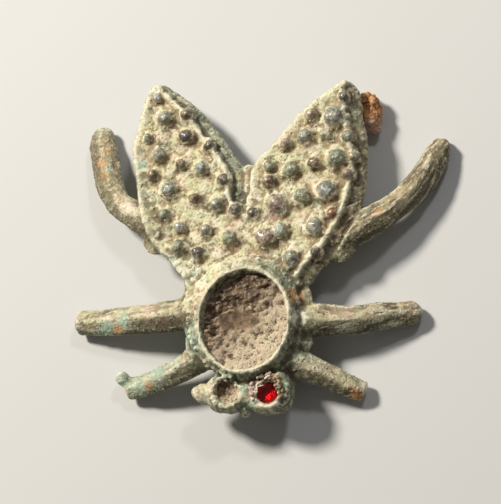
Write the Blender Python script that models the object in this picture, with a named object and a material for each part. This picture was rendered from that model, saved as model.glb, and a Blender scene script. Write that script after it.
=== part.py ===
"""Small cast bronze plate brooch in the shape of a fly seen from above.

Two pelleted wings, an oval cell on the back, a head with two eye cells and six legs are one casting,
with two hinge lugs and a hooked catch-plate on its flat back. Apart from it are the red glass of one
eye, the decayed bedding in the two empty cells, and the rusted remains of the iron pin.

The drawing frame has its origin on the ground below the middle of the back cell, +Y along the wings,
+Z away from the ground. An empty carries every piece, so that the finished part has its origin on the
ground below the middle of its box.
"""

import math

import bmesh
import bpy
from mathutils import Matrix, Vector, noise

MM = 0.001

# Levels above the ground
PLATE_UNDERSIDE = 2.6 * MM
PLATE_THICKNESS = 1.5 * MM
PLATE_EDGE_BAND = 0.35 * MM
WING_FIELD = PLATE_UNDERSIDE + PLATE_THICKNESS

# Wings
WING_DRAFT = 0.55 * MM
RIM_INSET = 0.88 * MM
RIM_RADIUS = 0.34 * MM
RIM_CREST = 0.34 * MM
OUTLINE_STEPS = 3
LEFT_WING = [
    (-0.2, 12.2), (-0.3, 15.1), (-2.1, 18.1), (-5.0, 21.9), (-7.6, 24.0), (-9.2, 24.5),
    (-10.3, 23.1), (-11.0, 20.2), (-11.6, 17.8), (-11.3, 15.0), (-11.0, 12.6), (-10.4, 10.2),
    (-9.3, 8.3), (-8.0, 6.8), (-6.6, 5.1), (-5.4, 3.0), (-2.0, 1.0), (2.0, 4.5), (1.7, 9.0),
]
RIGHT_WING = [
    (0.1, 12.0), (0.3, 15.3), (2.2, 17.5), (5.7, 21.1), (8.5, 23.1), (10.0, 23.7),
    (11.1, 22.4), (11.4, 19.8), (11.9, 16.7), (11.7, 13.2), (11.0, 10.6), (9.8, 8.2),
    (8.5, 6.3), (6.9, 4.7), (5.6, 3.2), (2.0, 1.0), (-2.0, 4.5), (-1.7, 8.8),
]
LEFT_RIM_POINTS = 15
RIGHT_RIM_POINTS = 14
SEAM_WEB = (0.0, 13.3, 1.3, 2.7)
SEAM_WEB_LEVEL = 3.5 * MM

# Pellets on the wings: x, y and radius, and a height that grows with the radius
PELLET_LEAST_HEIGHT = 0.39 * MM
PELLET_HEIGHT_SHARE = 0.18
PELLET_SIDES = 10
LEFT_PELLETS = [
    (-8.9, 23.0, 0.45), (-8.2, 20.8, 0.72), (-6.0, 21.1, 0.58), (-6.0, 18.9, 0.62), (-9.8, 19.0, 0.4),
    (-8.7, 17.2, 0.68), (-3.8, 17.8, 0.53), (-6.5, 16.1, 0.53), (-4.5, 15.6, 0.58), (-9.4, 15.1, 0.56),
    (-2.3, 14.3, 0.62), (-7.7, 13.6, 0.72), (-5.1, 12.6, 0.58), (-2.9, 11.9, 0.62), (-1.0, 11.2, 0.58),
    (-8.2, 11.2, 0.58), (-6.6, 9.8, 0.53), (-4.0, 9.4, 0.53), (-1.6, 8.4, 0.78), (-6.8, 7.9, 0.62),
    (-4.8, 7.1, 0.64),
]
RIGHT_PELLETS = [
    (9.7, 21.8, 0.48), (8.8, 19.9, 0.95), (6.5, 20.2, 0.58), (5.9, 18.1, 0.68), (4.0, 17.5, 0.53),
    (7.9, 18.2, 0.56), (10.1, 17.8, 0.56), (9.1, 15.7, 0.9), (4.5, 14.9, 0.78), (6.8, 15.4, 0.58),
    (2.3, 15.4, 0.45), (10.7, 15.8, 0.46), (10.2, 14.1, 0.53), (2.3, 13.8, 0.62), (8.0, 12.6, 0.88),
    (5.5, 12.2, 0.68), (3.0, 11.5, 0.95), (8.6, 10.3, 0.53), (0.7, 10.8, 0.55), (6.9, 9.0, 0.82),
    (3.5, 8.9, 0.68), (1.9, 8.3, 0.92), (4.5, 6.0, 0.74), (6.9, 6.5, 0.48),
]

# The oval cell on the back, with its raised wall
CELL_HALF_WIDTH = 4.45 * MM
CELL_HALF_LENGTH = 5.05 * MM
CELL_WALL = 0.4 * MM
CELL_RIM = 5.4 * MM
CELL_FLOOR = 3.5 * MM
CELL_TAPER = 0.22 * MM
CELL_FLOOR_ROUNDING = 0.35 * MM
CELL_SIDES = 40
BODY_HALF_WIDTH = 5.65 * MM
BODY_HALF_LENGTH = 5.95 * MM
BODY_SHIFT = (0.0 * MM, 0.3 * MM)
SHOULDER_SHIFT = (-0.8 * MM, 1.3 * MM)
SHOULDER_RISE = 0.1 * MM

# Head: two lobes with an eye cell each, a bridge between them, a side lobe and the snout
HEAD_TOP = 4.7 * MM
HEAD_SIDES = 24
HEAD_EDGE_DROP = 0.3 * MM
HEAD_EDGE_SHARE = 0.94
HEAD_TOP_SHARE = 0.82
LOBE_POWER = 2.4
BRIDGE_POWER = 3.0
LEFT_LOBE = (-1.85, -6.75, 2.35, 1.95)
RIGHT_LOBE = (2.2, -6.9, 2.4, 2.1)
RIGHT_LOBE_RISE = 0.1 * MM
HEAD_BRIDGE = (0.1, -6.4, 2.4, 1.95)
BRIDGE_DROP = 0.15 * MM
SIDE_LOBE = (-4.0, -6.75, 1.75, 1.05)
SIDE_LOBE_HALF_HEIGHT = 0.9 * MM
SIDE_LOBE_TURN = -0.2
SNOUT = (-0.3, -8.5, 0.6, 0.75)
SNOUT_HALF_HEIGHT = 0.7 * MM
SNOUT_DROP = 0.3 * MM
LEFT_EYE = (-1.75 * MM, -6.8 * MM)
RIGHT_EYE = (2.2 * MM, -7.2 * MM)
LEFT_EYE_RADIUS = 1.15 * MM
RIGHT_EYE_RADIUS = 1.05 * MM
EYE_WALL = 0.42 * MM
LEFT_EYE_RIM = 4.85 * MM
RIGHT_EYE_RIM = 5.05 * MM
EYE_FLOOR = 3.8 * MM
EYE_SIDES = 20

# Legs from root to tip: x, y and half the width of the rod
LEG_SIDES = 12
LEG_STEPS = 2
LEG_FLATNESS = 0.74
LEG_SECTION_POWER = 1.75
LEG_ROOT_LEVEL = 3.2 * MM
LEG_DROOP_POWER = 1.6
LEG_TIP_ROUNDING = 0.85
LEG_TIP_SHARES = (0.45, 0.8, 1.0)
LEG_TIP_BLUNTNESS = 1.05
LEGS = {
    "left_foreleg": [
        (-7.4, 8.3, 0.75), (-9.4, 10.2, 1.3), (-11.4, 11.6, 1.42), (-13.2, 13.0, 1.35),
        (-14.1, 14.6, 1.35), (-14.7, 16.5, 1.42), (-15.1, 18.4, 1.45), (-15.3, 19.8, 1.25),
    ],
    "right_foreleg": [
        (7.2, 6.3, 0.75), (9.6, 8.1, 1.4), (12.2, 9.6, 1.6), (13.8, 10.7, 1.4),
        (15.2, 11.8, 1.35), (16.4, 13.1, 1.48), (17.5, 14.8, 1.5), (18.4, 16.7, 1.15),
    ],
    "left_middle_leg": [
        (-3.6, 1.1, 0.75), (-5.3, 1.3, 1.5), (-7.0, 1.4, 1.65), (-10.0, 1.3, 1.5), (-14.2, 1.4, 1.4),
        (-17.7, 1.7, 1.22),
    ],
    "right_middle_leg": [
        (3.8, 0.2, 0.75), (5.4, 0.2, 1.55), (7.1, 0.1, 1.6), (9.9, 0.0, 1.43), (12.7, 0.4, 1.4),
        (15.6, 0.7, 1.25),
    ],
    "left_hind_leg": [
        (-2.9, -1.9, 0.75), (-4.4, -2.8, 1.45), (-5.9, -3.5, 1.42), (-8.0, -4.3, 1.3), (-10.2, -4.9, 1.2),
        (-12.7, -5.2, 1.1),
    ],
    "right_hind_leg": [
        (2.8, -2.9, 0.75), (4.1, -3.7, 1.4), (5.6, -4.4, 1.35), (7.4, -5.2, 1.22), (9.3, -6.2, 1.16),
        (10.9, -6.8, 1.02),
    ],
}
BROKEN_LEGS = ("left_middle_leg", "left_hind_leg", "right_hind_leg")
KNOB = (-13.1, -4.2, 0.75)
KNOB_LEVEL = 1.45 * MM

# Fastening on the back: the hinge is set in from the right wing's tip, the catch is below the head
HINGE_INSET = (1.0, 2.2)
WING_TIP = RIGHT_WING[5]
HINGE_CENTRE = ((WING_TIP[0] - HINGE_INSET[0]) * MM, (WING_TIP[1] - HINGE_INSET[1]) * MM)
CATCH_CENTRE = (HEAD_BRIDGE[0] * MM, HEAD_BRIDGE[1] * MM)
PIN_LEVEL = 1.3 * MM
LUG_SPACING = 2.3 * MM
LUG_THICKNESS = 0.8 * MM
LUG_HALF_WIDTH = 1.25 * MM
LUG_SINK = 0.5 * MM
LUG_STEPS = 10
AXLE_RADIUS = 0.5 * MM
AXLE_CLEARANCE = 0.08 * MM
AXLE_END = 0.5 * MM
RUST_LUMP_REACH = 3.05 * MM
RUST_LUMP_SIZE = (1.1 * MM, 1.85 * MM, 1.1 * MM)
RUST_LUMP_FINENESS = 3
RUST_BUMP_DEPTH = 0.15 * MM
RUST_BUMP_SPREAD = 0.85 * MM
RUST_DIP_SHARE = 0.3
PIN_STUB_SIDES = 10
PIN_STUB_RADIUS = 0.42 * MM
PIN_STUB_LENGTH = 3.2 * MM
CATCH_THICKNESS = 0.6 * MM
CATCH_HOOK_RADIUS = 0.95 * MM
CATCH_LENGTH = 3.0 * MM
CATCH_LIP = 0.5 * MM
CATCH_STEPS = 7

# What fills the cells
FILL_CLEARANCE = 0.05 * MM
CELL_BEDDING_THICKNESS = 0.35 * MM
EYE_BEDDING_THICKNESS = 0.3 * MM
GLASS_CROWN = 0.35 * MM
GLASS_CROWN_ANGLES = (0, 22, 44, 66)

# Finishes: colour, roughness, metallic and transmission
FINISHES = {
    "patinated_bronze": ((0.44, 0.42, 0.30), 0.75, 0.15, 0.0),
    "decayed_bedding": ((0.36, 0.27, 0.19), 0.95, 0.0, 0.0),
    "decayed_eye_bedding": ((0.34, 0.26, 0.18), 0.95, 0.0, 0.0),
    "red_glass": ((0.55, 0.01, 0.02), 0.08, 0.0, 0.8),
    "rusted_iron": ((0.35, 0.15, 0.05), 0.9, 0.1, 0.0),
}
SHARP_ANGLE = 35
WELD = 0.001 * MM


def clear_scene():
    for obj in list(bpy.data.objects):
        bpy.data.objects.remove(obj)
    for collection in list(bpy.data.collections):
        bpy.data.collections.remove(collection)


def new_collection(name):
    collection = bpy.data.collections.new(name)
    bpy.context.scene.collection.children.link(collection)
    return collection


def metres(points):
    """Points written in millimetres, in metres."""
    return [tuple(value * MM for value in point) for point in points]


def material(name):
    """A plain material from the list of finishes."""
    colour, roughness, metallic, transmission = FINISHES[name]
    made = bpy.data.materials.new(name)
    made.use_nodes = True
    shader = made.node_tree.nodes["Principled BSDF"]
    shader.inputs["Base Color"].default_value = (*colour, 1.0)
    shader.inputs["Roughness"].default_value = roughness
    shader.inputs["Metallic"].default_value = metallic
    shader.inputs["Transmission Weight"].default_value = transmission
    made.diffuse_color = (*colour, 1.0)
    return made


def mesh_object(name, mesh_data, collection):
    mesh = bpy.data.meshes.new(name)
    mesh_data.to_mesh(mesh)
    mesh_data.free()
    obj = bpy.data.objects.new(name, mesh)
    collection.objects.link(obj)
    return obj


def curve_to_mesh(curve_object, collection):
    """The curve as a closed mesh object, its loose caps welded to its sides."""
    graph = bpy.context.evaluated_depsgraph_get()
    mesh = bpy.data.meshes.new_from_object(curve_object.evaluated_get(graph))
    welded = bmesh.new()
    welded.from_mesh(mesh)
    bmesh.ops.remove_doubles(welded, verts=welded.verts, dist=WELD)
    bmesh.ops.recalc_face_normals(welded, faces=welded.faces)
    welded.transform(curve_object.matrix_world)
    name = curve_object.name
    bpy.data.meshes.remove(mesh)
    bpy.data.objects.remove(curve_object)
    return mesh_object(name, welded, collection)


def between(a, b, c, d, share):
    """A point on the smooth curve from b to c, with a before and d after them."""
    square = share * share
    cube = square * share
    point = []
    for p, q, r, s in zip(a, b, c, d):
        slope = (r - p) * share
        bend = (2 * p - 5 * q + 4 * r - s) * square
        twist = (3 * q - p - 3 * r + s) * cube
        point.append((2 * q + slope + bend + twist) / 2)
    return tuple(point)


def smooth_loop(points, steps):
    """A closed smooth curve through the points."""
    count = len(points)
    return [
        between(points[i - 1], points[i], points[(i + 1) % count], points[(i + 2) % count], step / steps)
        for i in range(count)
        for step in range(steps)
    ]


def smooth_path(points, steps):
    """An open smooth curve through the points."""
    ends = [points[0], *points, points[-1]]
    path = [
        between(*ends[i : i + 4], step / steps)
        for i in range(len(points) - 1)
        for step in range(steps)
    ]
    return [*path, points[-1]]


def inset_loop(loop, distance):
    """Each point of a closed outline moved inwards by the distance."""
    area = sum(a[0] * b[1] - b[0] * a[1] for a, b in zip(loop, loop[1:] + loop[:1]))
    turn = math.copysign(1.0, area)
    moved = []
    for i, point in enumerate(loop):
        before = loop[i - 1]
        after = loop[(i + 1) % len(loop)]
        along = Vector((after[0] - before[0], after[1] - before[1])).normalized()
        moved.append((point[0] - turn * along.y * distance, point[1] + turn * along.x * distance))
    return moved


def oval(centre, half_width, half_length, sides, power=2.0):
    """A superellipse: power 2 is an ellipse, and a higher one is squarer."""
    points = []
    for i in range(sides):
        angle = 2 * math.pi * i / sides
        x = math.copysign(abs(math.cos(angle)) ** (2 / power), math.cos(angle))
        y = math.copysign(abs(math.sin(angle)) ** (2 / power), math.sin(angle))
        points.append((centre[0] + half_width * x, centre[1] + half_length * y))
    return points


def loft(name, sections, collection):
    """A closed body through flat sections, each an outline and its level."""
    body = bmesh.new()
    rings = [[body.verts.new((x, y, level)) for x, y in outline] for outline, level in sections]
    for lower, upper in zip(rings, rings[1:]):
        for i in range(len(lower)):
            body.faces.new((lower[i - 1], lower[i], upper[i], upper[i - 1]))
    body.faces.new(reversed(rings[0]))
    body.faces.new(rings[-1])
    bmesh.ops.recalc_face_normals(body, faces=body.faces)
    return mesh_object(name, body, collection)


def ellipsoid(name, centre, half_sizes, collection, turn=0.0, sides=12):
    body = bmesh.new()
    bmesh.ops.create_uvsphere(body, u_segments=sides, v_segments=sides // 2, radius=1.0)
    place = Matrix.Translation(centre) @ Matrix.Rotation(turn, 4, "Z")
    body.transform(place @ Matrix.Diagonal((*half_sizes, 1.0)))
    return mesh_object(name, body, collection)


def rod_between(name, start, end, radius, collection, sides=12):
    """A straight round rod."""
    axis = Vector(end) - Vector(start)
    body = bmesh.new()
    bmesh.ops.create_cone(
        body, cap_ends=True, segments=sides, radius1=radius, radius2=radius, depth=axis.length
    )
    middle = (Vector(start) + Vector(end)) / 2
    turn = axis.to_track_quat("Z", "Y").to_matrix().to_4x4()
    body.transform(Matrix.Translation(middle) @ turn)
    return mesh_object(name, body, collection)


def tube(name, stations, bevel, collection):
    """A rod along stations of place and radius, with a round bevel depth or a section to sweep."""
    data = bpy.data.curves.new(name, "CURVE")
    data.dimensions = "3D"
    data.twist_mode = "Z_UP"
    data.use_fill_caps = True
    if isinstance(bevel, float):
        data.bevel_depth = bevel
        data.bevel_resolution = 1
    else:
        data.bevel_mode = "OBJECT"
        data.bevel_object = bevel
    spline = data.splines.new("POLY")
    spline.points.add(len(stations) - 1)
    for point, (x, y, z, radius) in zip(spline.points, stations):
        point.co = (x, y, z, 1.0)
        point.radius = radius
    obj = bpy.data.objects.new(name, data)
    collection.objects.link(obj)
    return curve_to_mesh(obj, collection)


def slab(name, outline, thickness, matrix, collection):
    """A flat outline of even thickness, centred on its own plane and then placed."""
    data = bpy.data.curves.new(name, "CURVE")
    data.dimensions = "2D"
    data.fill_mode = "BOTH"
    data.extrude = thickness / 2
    spline = data.splines.new("POLY")
    spline.points.add(len(outline) - 1)
    for point, (x, y) in zip(spline.points, outline):
        point.co = (x, y, 0.0, 1.0)
    spline.use_cyclic_u = True
    obj = bpy.data.objects.new(name, data)
    collection.objects.link(obj)
    obj.matrix_world = matrix
    bpy.context.view_layer.update()
    return curve_to_mesh(obj, collection)


def combine(target, others, operation, cross_themselves=False):
    """Joins the others to the target, or cuts them from it, and removes them."""
    for other in others:
        modifier = target.modifiers.new(other.name, "BOOLEAN")
        modifier.operation = operation
        modifier.solver = "EXACT"
        modifier.use_self = cross_themselves
        modifier.object = other
        graph = bpy.context.evaluated_depsgraph_get()
        joined = bpy.data.meshes.new_from_object(target.evaluated_get(graph))
        target.modifiers.remove(modifier)
        previous = target.data
        target.data = joined
        bpy.data.meshes.remove(previous)
        bpy.data.objects.remove(other)


def wing(name, points, rim_points, collection):
    """A drafted plate with a round rim along its free edge."""
    outline = smooth_loop(metres(points), OUTLINE_STEPS)
    plate = loft(
        name,
        [
            (outline, PLATE_UNDERSIDE),
            (outline, PLATE_UNDERSIDE + PLATE_EDGE_BAND),
            (inset_loop(outline, WING_DRAFT), WING_FIELD),
        ],
        collection,
    )
    crest = inset_loop(outline, RIM_INSET)[: (rim_points - 1) * OUTLINE_STEPS + 1]
    level = WING_FIELD + RIM_CREST - RIM_RADIUS
    stations = []
    for i, (x, y) in enumerate(crest):
        ends = min(1.0, i / OUTLINE_STEPS, (len(crest) - 1 - i) / OUTLINE_STEPS)
        stations.append((x, y, level - (1.0 - ends) * RIM_CREST, 1.0))
    rim = tube(name + "_rim", stations, RIM_RADIUS, collection)
    combine(plate, [rim], "UNION", cross_themselves=True)
    return plate


def pellets(name, places, collection):
    """Low round pellets, sunk to half of their height in the wing's field."""
    made = []
    for i, (x, y, radius) in enumerate(metres(places)):
        sizes = (radius, radius, PELLET_LEAST_HEIGHT + PELLET_HEIGHT_SHARE * radius)
        centre = (x, y, WING_FIELD)
        made.append(ellipsoid(f"{name}_{i}", centre, sizes, collection, sides=PELLET_SIDES))
    return made


def cell_outline(level, gap=0.0):
    """The inside of the back cell at a level, drawn in by a gap."""
    depth = (CELL_RIM - level) / (CELL_RIM - CELL_FLOOR)
    inwards = CELL_WALL + CELL_TAPER * depth + gap
    return oval((0.0, 0.0), CELL_HALF_WIDTH - inwards, CELL_HALF_LENGTH - inwards, CELL_SIDES)


def body(collection):
    """The body below the wings, its shoulder towards them, and the wall of the cell."""
    foot = oval(BODY_SHIFT, BODY_HALF_WIDTH, BODY_HALF_LENGTH, CELL_SIDES)
    slope = WING_DRAFT / 2
    wall = oval((0.0, 0.0), CELL_HALF_WIDTH + slope, CELL_HALF_LENGTH + slope, CELL_SIDES)
    rim = oval((0.0, 0.0), CELL_HALF_WIDTH, CELL_HALF_LENGTH, CELL_SIDES)
    spread = oval(SHOULDER_SHIFT, BODY_HALF_WIDTH, BODY_HALF_LENGTH, CELL_SIDES)
    middle = CELL_WALL / 2
    crest = oval((0.0, 0.0), CELL_HALF_WIDTH - middle, CELL_HALF_LENGTH - middle, CELL_SIDES)
    boss = loft(
        "body",
        [
            (foot, PLATE_UNDERSIDE),
            (foot, PLATE_UNDERSIDE + PLATE_EDGE_BAND),
            (wall, WING_FIELD),
            (rim, CELL_RIM),
        ],
        collection,
    )
    shoulder = loft(
        "shoulder",
        [
            (spread, PLATE_UNDERSIDE + PLATE_THICKNESS / 2),
            (spread, WING_FIELD + SHOULDER_RISE),
            (crest, CELL_RIM - SHOULDER_RISE),
        ],
        collection,
    )
    return boss, shoulder


def head_lobe(name, size, top, power, collection):
    """A squarish lobe with a soft upper edge."""
    x, y, half_width, half_length = metres([size])[0]
    outlines = [
        oval((x, y), half_width * share, half_length * share, HEAD_SIDES, power)
        for share in (1.0, HEAD_EDGE_SHARE, HEAD_TOP_SHARE)
    ]
    sections = [
        (outlines[0], PLATE_UNDERSIDE),
        (outlines[0], (PLATE_UNDERSIDE + top) / 2),
        (outlines[1], top - HEAD_EDGE_DROP),
        (outlines[2], top),
    ]
    return loft(name, sections, collection)


def eye_wall(name, place, radius, rim, collection):
    """The raised wall round an eye cell, wider at its foot."""
    top = oval(place, radius + EYE_WALL, radius + EYE_WALL, EYE_SIDES)
    foot = oval(place, radius + 1.5 * EYE_WALL, radius + 1.5 * EYE_WALL, EYE_SIDES)
    sections = [(foot, EYE_FLOOR - EYE_WALL), (foot, HEAD_TOP - EYE_WALL / 2), (top, rim)]
    return loft(name, sections, collection)


def head(collection):
    side_x, side_y, side_width, side_length = metres([SIDE_LOBE])[0]
    side_size = (side_width, side_length, SIDE_LOBE_HALF_HEIGHT)
    snout_x, snout_y, snout_width, snout_length = metres([SNOUT])[0]
    snout_size = (snout_width, snout_length, SNOUT_HALF_HEIGHT)
    level = (PLATE_UNDERSIDE + HEAD_TOP) / 2
    return [
        head_lobe("left_head_lobe", LEFT_LOBE, HEAD_TOP, LOBE_POWER, collection),
        head_lobe("right_head_lobe", RIGHT_LOBE, HEAD_TOP + RIGHT_LOBE_RISE, LOBE_POWER, collection),
        head_lobe("head_bridge", HEAD_BRIDGE, HEAD_TOP - BRIDGE_DROP, BRIDGE_POWER, collection),
        ellipsoid("side_lobe", (side_x, side_y, level), side_size, collection, SIDE_LOBE_TURN),
        ellipsoid("snout", (snout_x, snout_y, level - SNOUT_DROP), snout_size, collection),
        eye_wall("left_eye_wall", LEFT_EYE, LEFT_EYE_RADIUS, LEFT_EYE_RIM, collection),
        eye_wall("right_eye_wall", RIGHT_EYE, RIGHT_EYE_RADIUS, RIGHT_EYE_RIM, collection),
    ]


def leg_section(collection):
    """The section of every leg, one metre to each side so that a station's radius is its half width."""
    data = bpy.data.curves.new("leg_section", "CURVE")
    data.dimensions = "2D"
    outline = oval((0.0, 0.0), 1.0, LEG_FLATNESS, LEG_SIDES, LEG_SECTION_POWER)
    spline = data.splines.new("POLY")
    spline.points.add(len(outline) - 1)
    for point, (x, y) in zip(spline.points, outline):
        point.co = (x, y, 0.0, 1.0)
    spline.use_cyclic_u = True
    obj = bpy.data.objects.new("leg_section", data)
    obj.hide_render = True
    obj.display_type = "WIRE"
    collection.objects.link(obj)
    return obj


def leg(name, points, section, collection):
    """A rod that leaves the plate almost level and droops until its tip touches the ground."""
    path = smooth_path(metres(points), LEG_STEPS)
    reach = [0.0]
    for before, after in zip(path, path[1:]):
        reach.append(reach[-1] + math.dist(before[:2], after[:2]))
    tip_level = LEG_FLATNESS * path[-1][2]
    stations = []
    for (x, y, radius), distance in zip(path, reach):
        drop = (LEG_ROOT_LEVEL - tip_level) * (distance / reach[-1]) ** LEG_DROOP_POWER
        stations.append((x, y, LEG_ROOT_LEVEL - drop, radius))
    if name not in BROKEN_LEGS:
        last = Vector(stations[-1][:2])
        along = (last - Vector(stations[-2][:2])).normalized()
        radius = stations[-1][3]
        for share in LEG_TIP_SHARES:
            place = last + along * radius * LEG_TIP_ROUNDING * share
            rounded = radius * math.sqrt(LEG_TIP_BLUNTNESS - share * share)
            stations.append((place.x, place.y, tip_level, rounded))
    return tube(name, stations, section, collection)


def fastening_frame():
    """The directions of the pin and of its axle, which lie square to each other."""
    along_pin = (Vector(CATCH_CENTRE) - Vector(HINGE_CENTRE)).normalized().to_3d()
    along_axle = Vector((-along_pin.y, along_pin.x, 0.0))
    return along_pin, along_axle


def upright(centre, across):
    """A matrix that stands a flat outline up, with its X along across and its Y up."""
    up = Vector((0.0, 0.0, 1.0))
    turn = Matrix((across, up, across.cross(up))).transposed().to_4x4()
    return Matrix.Translation(centre) @ turn


def lug(name, offset, collection):
    """A pierced lug: straight sides from the plate and a round end on the ground."""
    along_pin, along_axle = fastening_frame()
    top = PLATE_UNDERSIDE + LUG_SINK - PIN_LEVEL
    outline = [(LUG_HALF_WIDTH, top), (-LUG_HALF_WIDTH, top)]
    for i in range(LUG_STEPS + 1):
        angle = math.pi * (1 + i / LUG_STEPS)
        outline.append((LUG_HALF_WIDTH * math.cos(angle), PIN_LEVEL * math.sin(angle)))
    centre = Vector((*HINGE_CENTRE, PIN_LEVEL)) + along_axle * offset
    return slab(name, outline, LUG_THICKNESS, upright(centre, along_pin), collection)


def catch_plate(collection):
    """A plate bent to a hook that once held the point of the pin."""
    along_axle = fastening_frame()[1]
    hook_level = CATCH_HOOK_RADIUS + CATCH_THICKNESS / 2
    centre_line = [Vector((-CATCH_HOOK_RADIUS, PLATE_UNDERSIDE + LUG_SINK))]
    for i in range(CATCH_STEPS + 1):
        angle = math.pi * (1 + i / CATCH_STEPS)
        turned = Vector((math.cos(angle), math.sin(angle))) * CATCH_HOOK_RADIUS
        centre_line.append(turned + Vector((0.0, hook_level)))
    centre_line.append(Vector((CATCH_HOOK_RADIUS, hook_level + CATCH_LIP)))
    outer = []
    inner = []
    for i, point in enumerate(centre_line):
        before = centre_line[max(i - 1, 0)]
        after = centre_line[min(i + 1, len(centre_line) - 1)]
        along = (after - before).normalized()
        aside = Vector((-along.y, along.x)) * CATCH_THICKNESS / 2
        outer.append(tuple(point + aside))
        inner.append(tuple(point - aside))
    outline = outer + inner[::-1]
    centre = Vector((*CATCH_CENTRE, 0.0))
    return slab("catch_plate", outline, CATCH_LENGTH, upright(centre, along_axle), collection)


def casting(collection, cutters):
    """The whole bronze: everything joined, then the cells and the hinge hole cut."""
    boss, shoulder = body(collection)
    section = leg_section(cutters)
    web_x, web_y, web_width, web_length = metres([SEAM_WEB])[0]
    web = oval((web_x, web_y), web_width, web_length, CELL_SIDES // 2)
    pieces = [shoulder, loft("seam_web", [(web, PLATE_UNDERSIDE), (web, SEAM_WEB_LEVEL)], collection)]
    pieces.append(wing("left_wing", LEFT_WING, LEFT_RIM_POINTS, collection))
    pieces.append(wing("right_wing", RIGHT_WING, RIGHT_RIM_POINTS, collection))
    pieces += [leg(name, points, section, collection) for name, points in LEGS.items()]
    pieces += head(collection)
    knob_x, knob_y, knob_radius = metres([KNOB])[0]
    pieces.append(ellipsoid("knob", (knob_x, knob_y, KNOB_LEVEL), (knob_radius,) * 3, collection))
    pieces += [lug(f"lug_{side}", side * LUG_SPACING / 2, collection) for side in (-1, 1)]
    pieces.append(catch_plate(collection))
    pieces += pellets("left_pellet", LEFT_PELLETS, collection)
    pieces += pellets("right_pellet", RIGHT_PELLETS, collection)
    combine(boss, pieces, "UNION")

    above = CELL_RIM + CELL_WALL
    cell = loft(
        "cell_cutter",
        [
            (cell_outline(CELL_FLOOR, CELL_FLOOR_ROUNDING), CELL_FLOOR),
            (cell_outline(CELL_FLOOR + CELL_FLOOR_ROUNDING), CELL_FLOOR + CELL_FLOOR_ROUNDING),
            (cell_outline(above), above),
        ],
        cutters,
    )
    eyes = []
    for name, place, radius in (("left", LEFT_EYE, LEFT_EYE_RADIUS), ("right", RIGHT_EYE, RIGHT_EYE_RADIUS)):
        hole = oval(place, radius, radius, EYE_SIDES)
        eyes.append(loft(name + "_eye_cutter", [(hole, EYE_FLOOR), (hole, above)], cutters))
    along_axle = fastening_frame()[1]
    hinge = Vector((*HINGE_CENTRE, PIN_LEVEL))
    reach = along_axle * (LUG_SPACING / 2 + LUG_THICKNESS)
    bore = rod_between("hinge_bore", hinge - reach, hinge + reach, AXLE_RADIUS + AXLE_CLEARANCE, cutters)
    combine(boss, [cell, *eyes, bore], "DIFFERENCE")
    boss.name = "brooch_casting"
    boss.data.materials.clear()
    boss.data.materials.append(material("patinated_bronze"))
    return boss


def cell_bedding(collection):
    """The decayed layer on the floor of the empty back cell."""
    low = CELL_FLOOR + FILL_CLEARANCE
    high = low + CELL_BEDDING_THICKNESS
    made = loft(
        "cell_bedding",
        [
            (cell_outline(low, CELL_FLOOR_ROUNDING + FILL_CLEARANCE), low),
            (cell_outline(high, FILL_CLEARANCE), high),
        ],
        collection,
    )
    made.data.materials.append(material("decayed_bedding"))
    return made


def eye_bedding(collection):
    """What is left in the eye cell that has lost its glass."""
    low = EYE_FLOOR + FILL_CLEARANCE
    radius = LEFT_EYE_RADIUS - FILL_CLEARANCE
    outline = oval(LEFT_EYE, radius, radius, EYE_SIDES)
    made = loft("eye_bedding", [(outline, low), (outline, low + EYE_BEDDING_THICKNESS)], collection)
    made.data.materials.append(material("decayed_eye_bedding"))
    return made


def eye_glass(collection):
    """The red glass of the other eye: a low cabochon as deep as its cell."""
    low = EYE_FLOOR + FILL_CLEARANCE
    radius = RIGHT_EYE_RADIUS - FILL_CLEARANCE
    edge = RIGHT_EYE_RIM - GLASS_CROWN
    sections = [(oval(RIGHT_EYE, radius, radius, EYE_SIDES), low)]
    for degrees in GLASS_CROWN_ANGLES:
        angle = math.radians(degrees)
        shrunk = oval(RIGHT_EYE, radius * math.cos(angle), radius * math.cos(angle), EYE_SIDES)
        sections.append((shrunk, edge + GLASS_CROWN * math.sin(angle)))
    made = loft("eye_glass", sections, collection)
    made.data.materials.append(material("red_glass"))
    return made


def iron_pin(collection):
    """The axle rusted fast in its lugs, the lump at its outer end and the stub of the broken pin."""
    along_pin, along_axle = fastening_frame()
    hinge = Vector((*HINGE_CENTRE, PIN_LEVEL))
    inner_end = hinge - along_axle * (LUG_SPACING / 2 + LUG_THICKNESS / 2 + AXLE_END)
    lump_centre = hinge + along_axle * RUST_LUMP_REACH
    axle = rod_between("iron_pin", inner_end, lump_centre, AXLE_RADIUS, collection)
    stub_end = hinge + along_pin * PIN_STUB_LENGTH
    stub = rod_between("pin_stub", hinge, stub_end, PIN_STUB_RADIUS, collection, PIN_STUB_SIDES)
    bump = RUST_BUMP_DEPTH / RUST_LUMP_SIZE[0]
    grain = RUST_LUMP_SIZE[0] / RUST_BUMP_SPREAD
    lump = bmesh.new()
    bmesh.ops.create_icosphere(lump, subdivisions=RUST_LUMP_FINENESS, radius=1.0)
    for vert in lump.verts:
        vert.co *= 1.0 + bump * (noise.noise(vert.co * grain) - RUST_DIP_SHARE)
    lump.transform(Matrix.Translation(lump_centre) @ Matrix.Diagonal((*RUST_LUMP_SIZE, 1.0)))
    combine(axle, [stub, mesh_object("rust_lump", lump, collection)], "UNION")
    axle.data.materials.append(material("rusted_iron"))
    return axle


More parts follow.
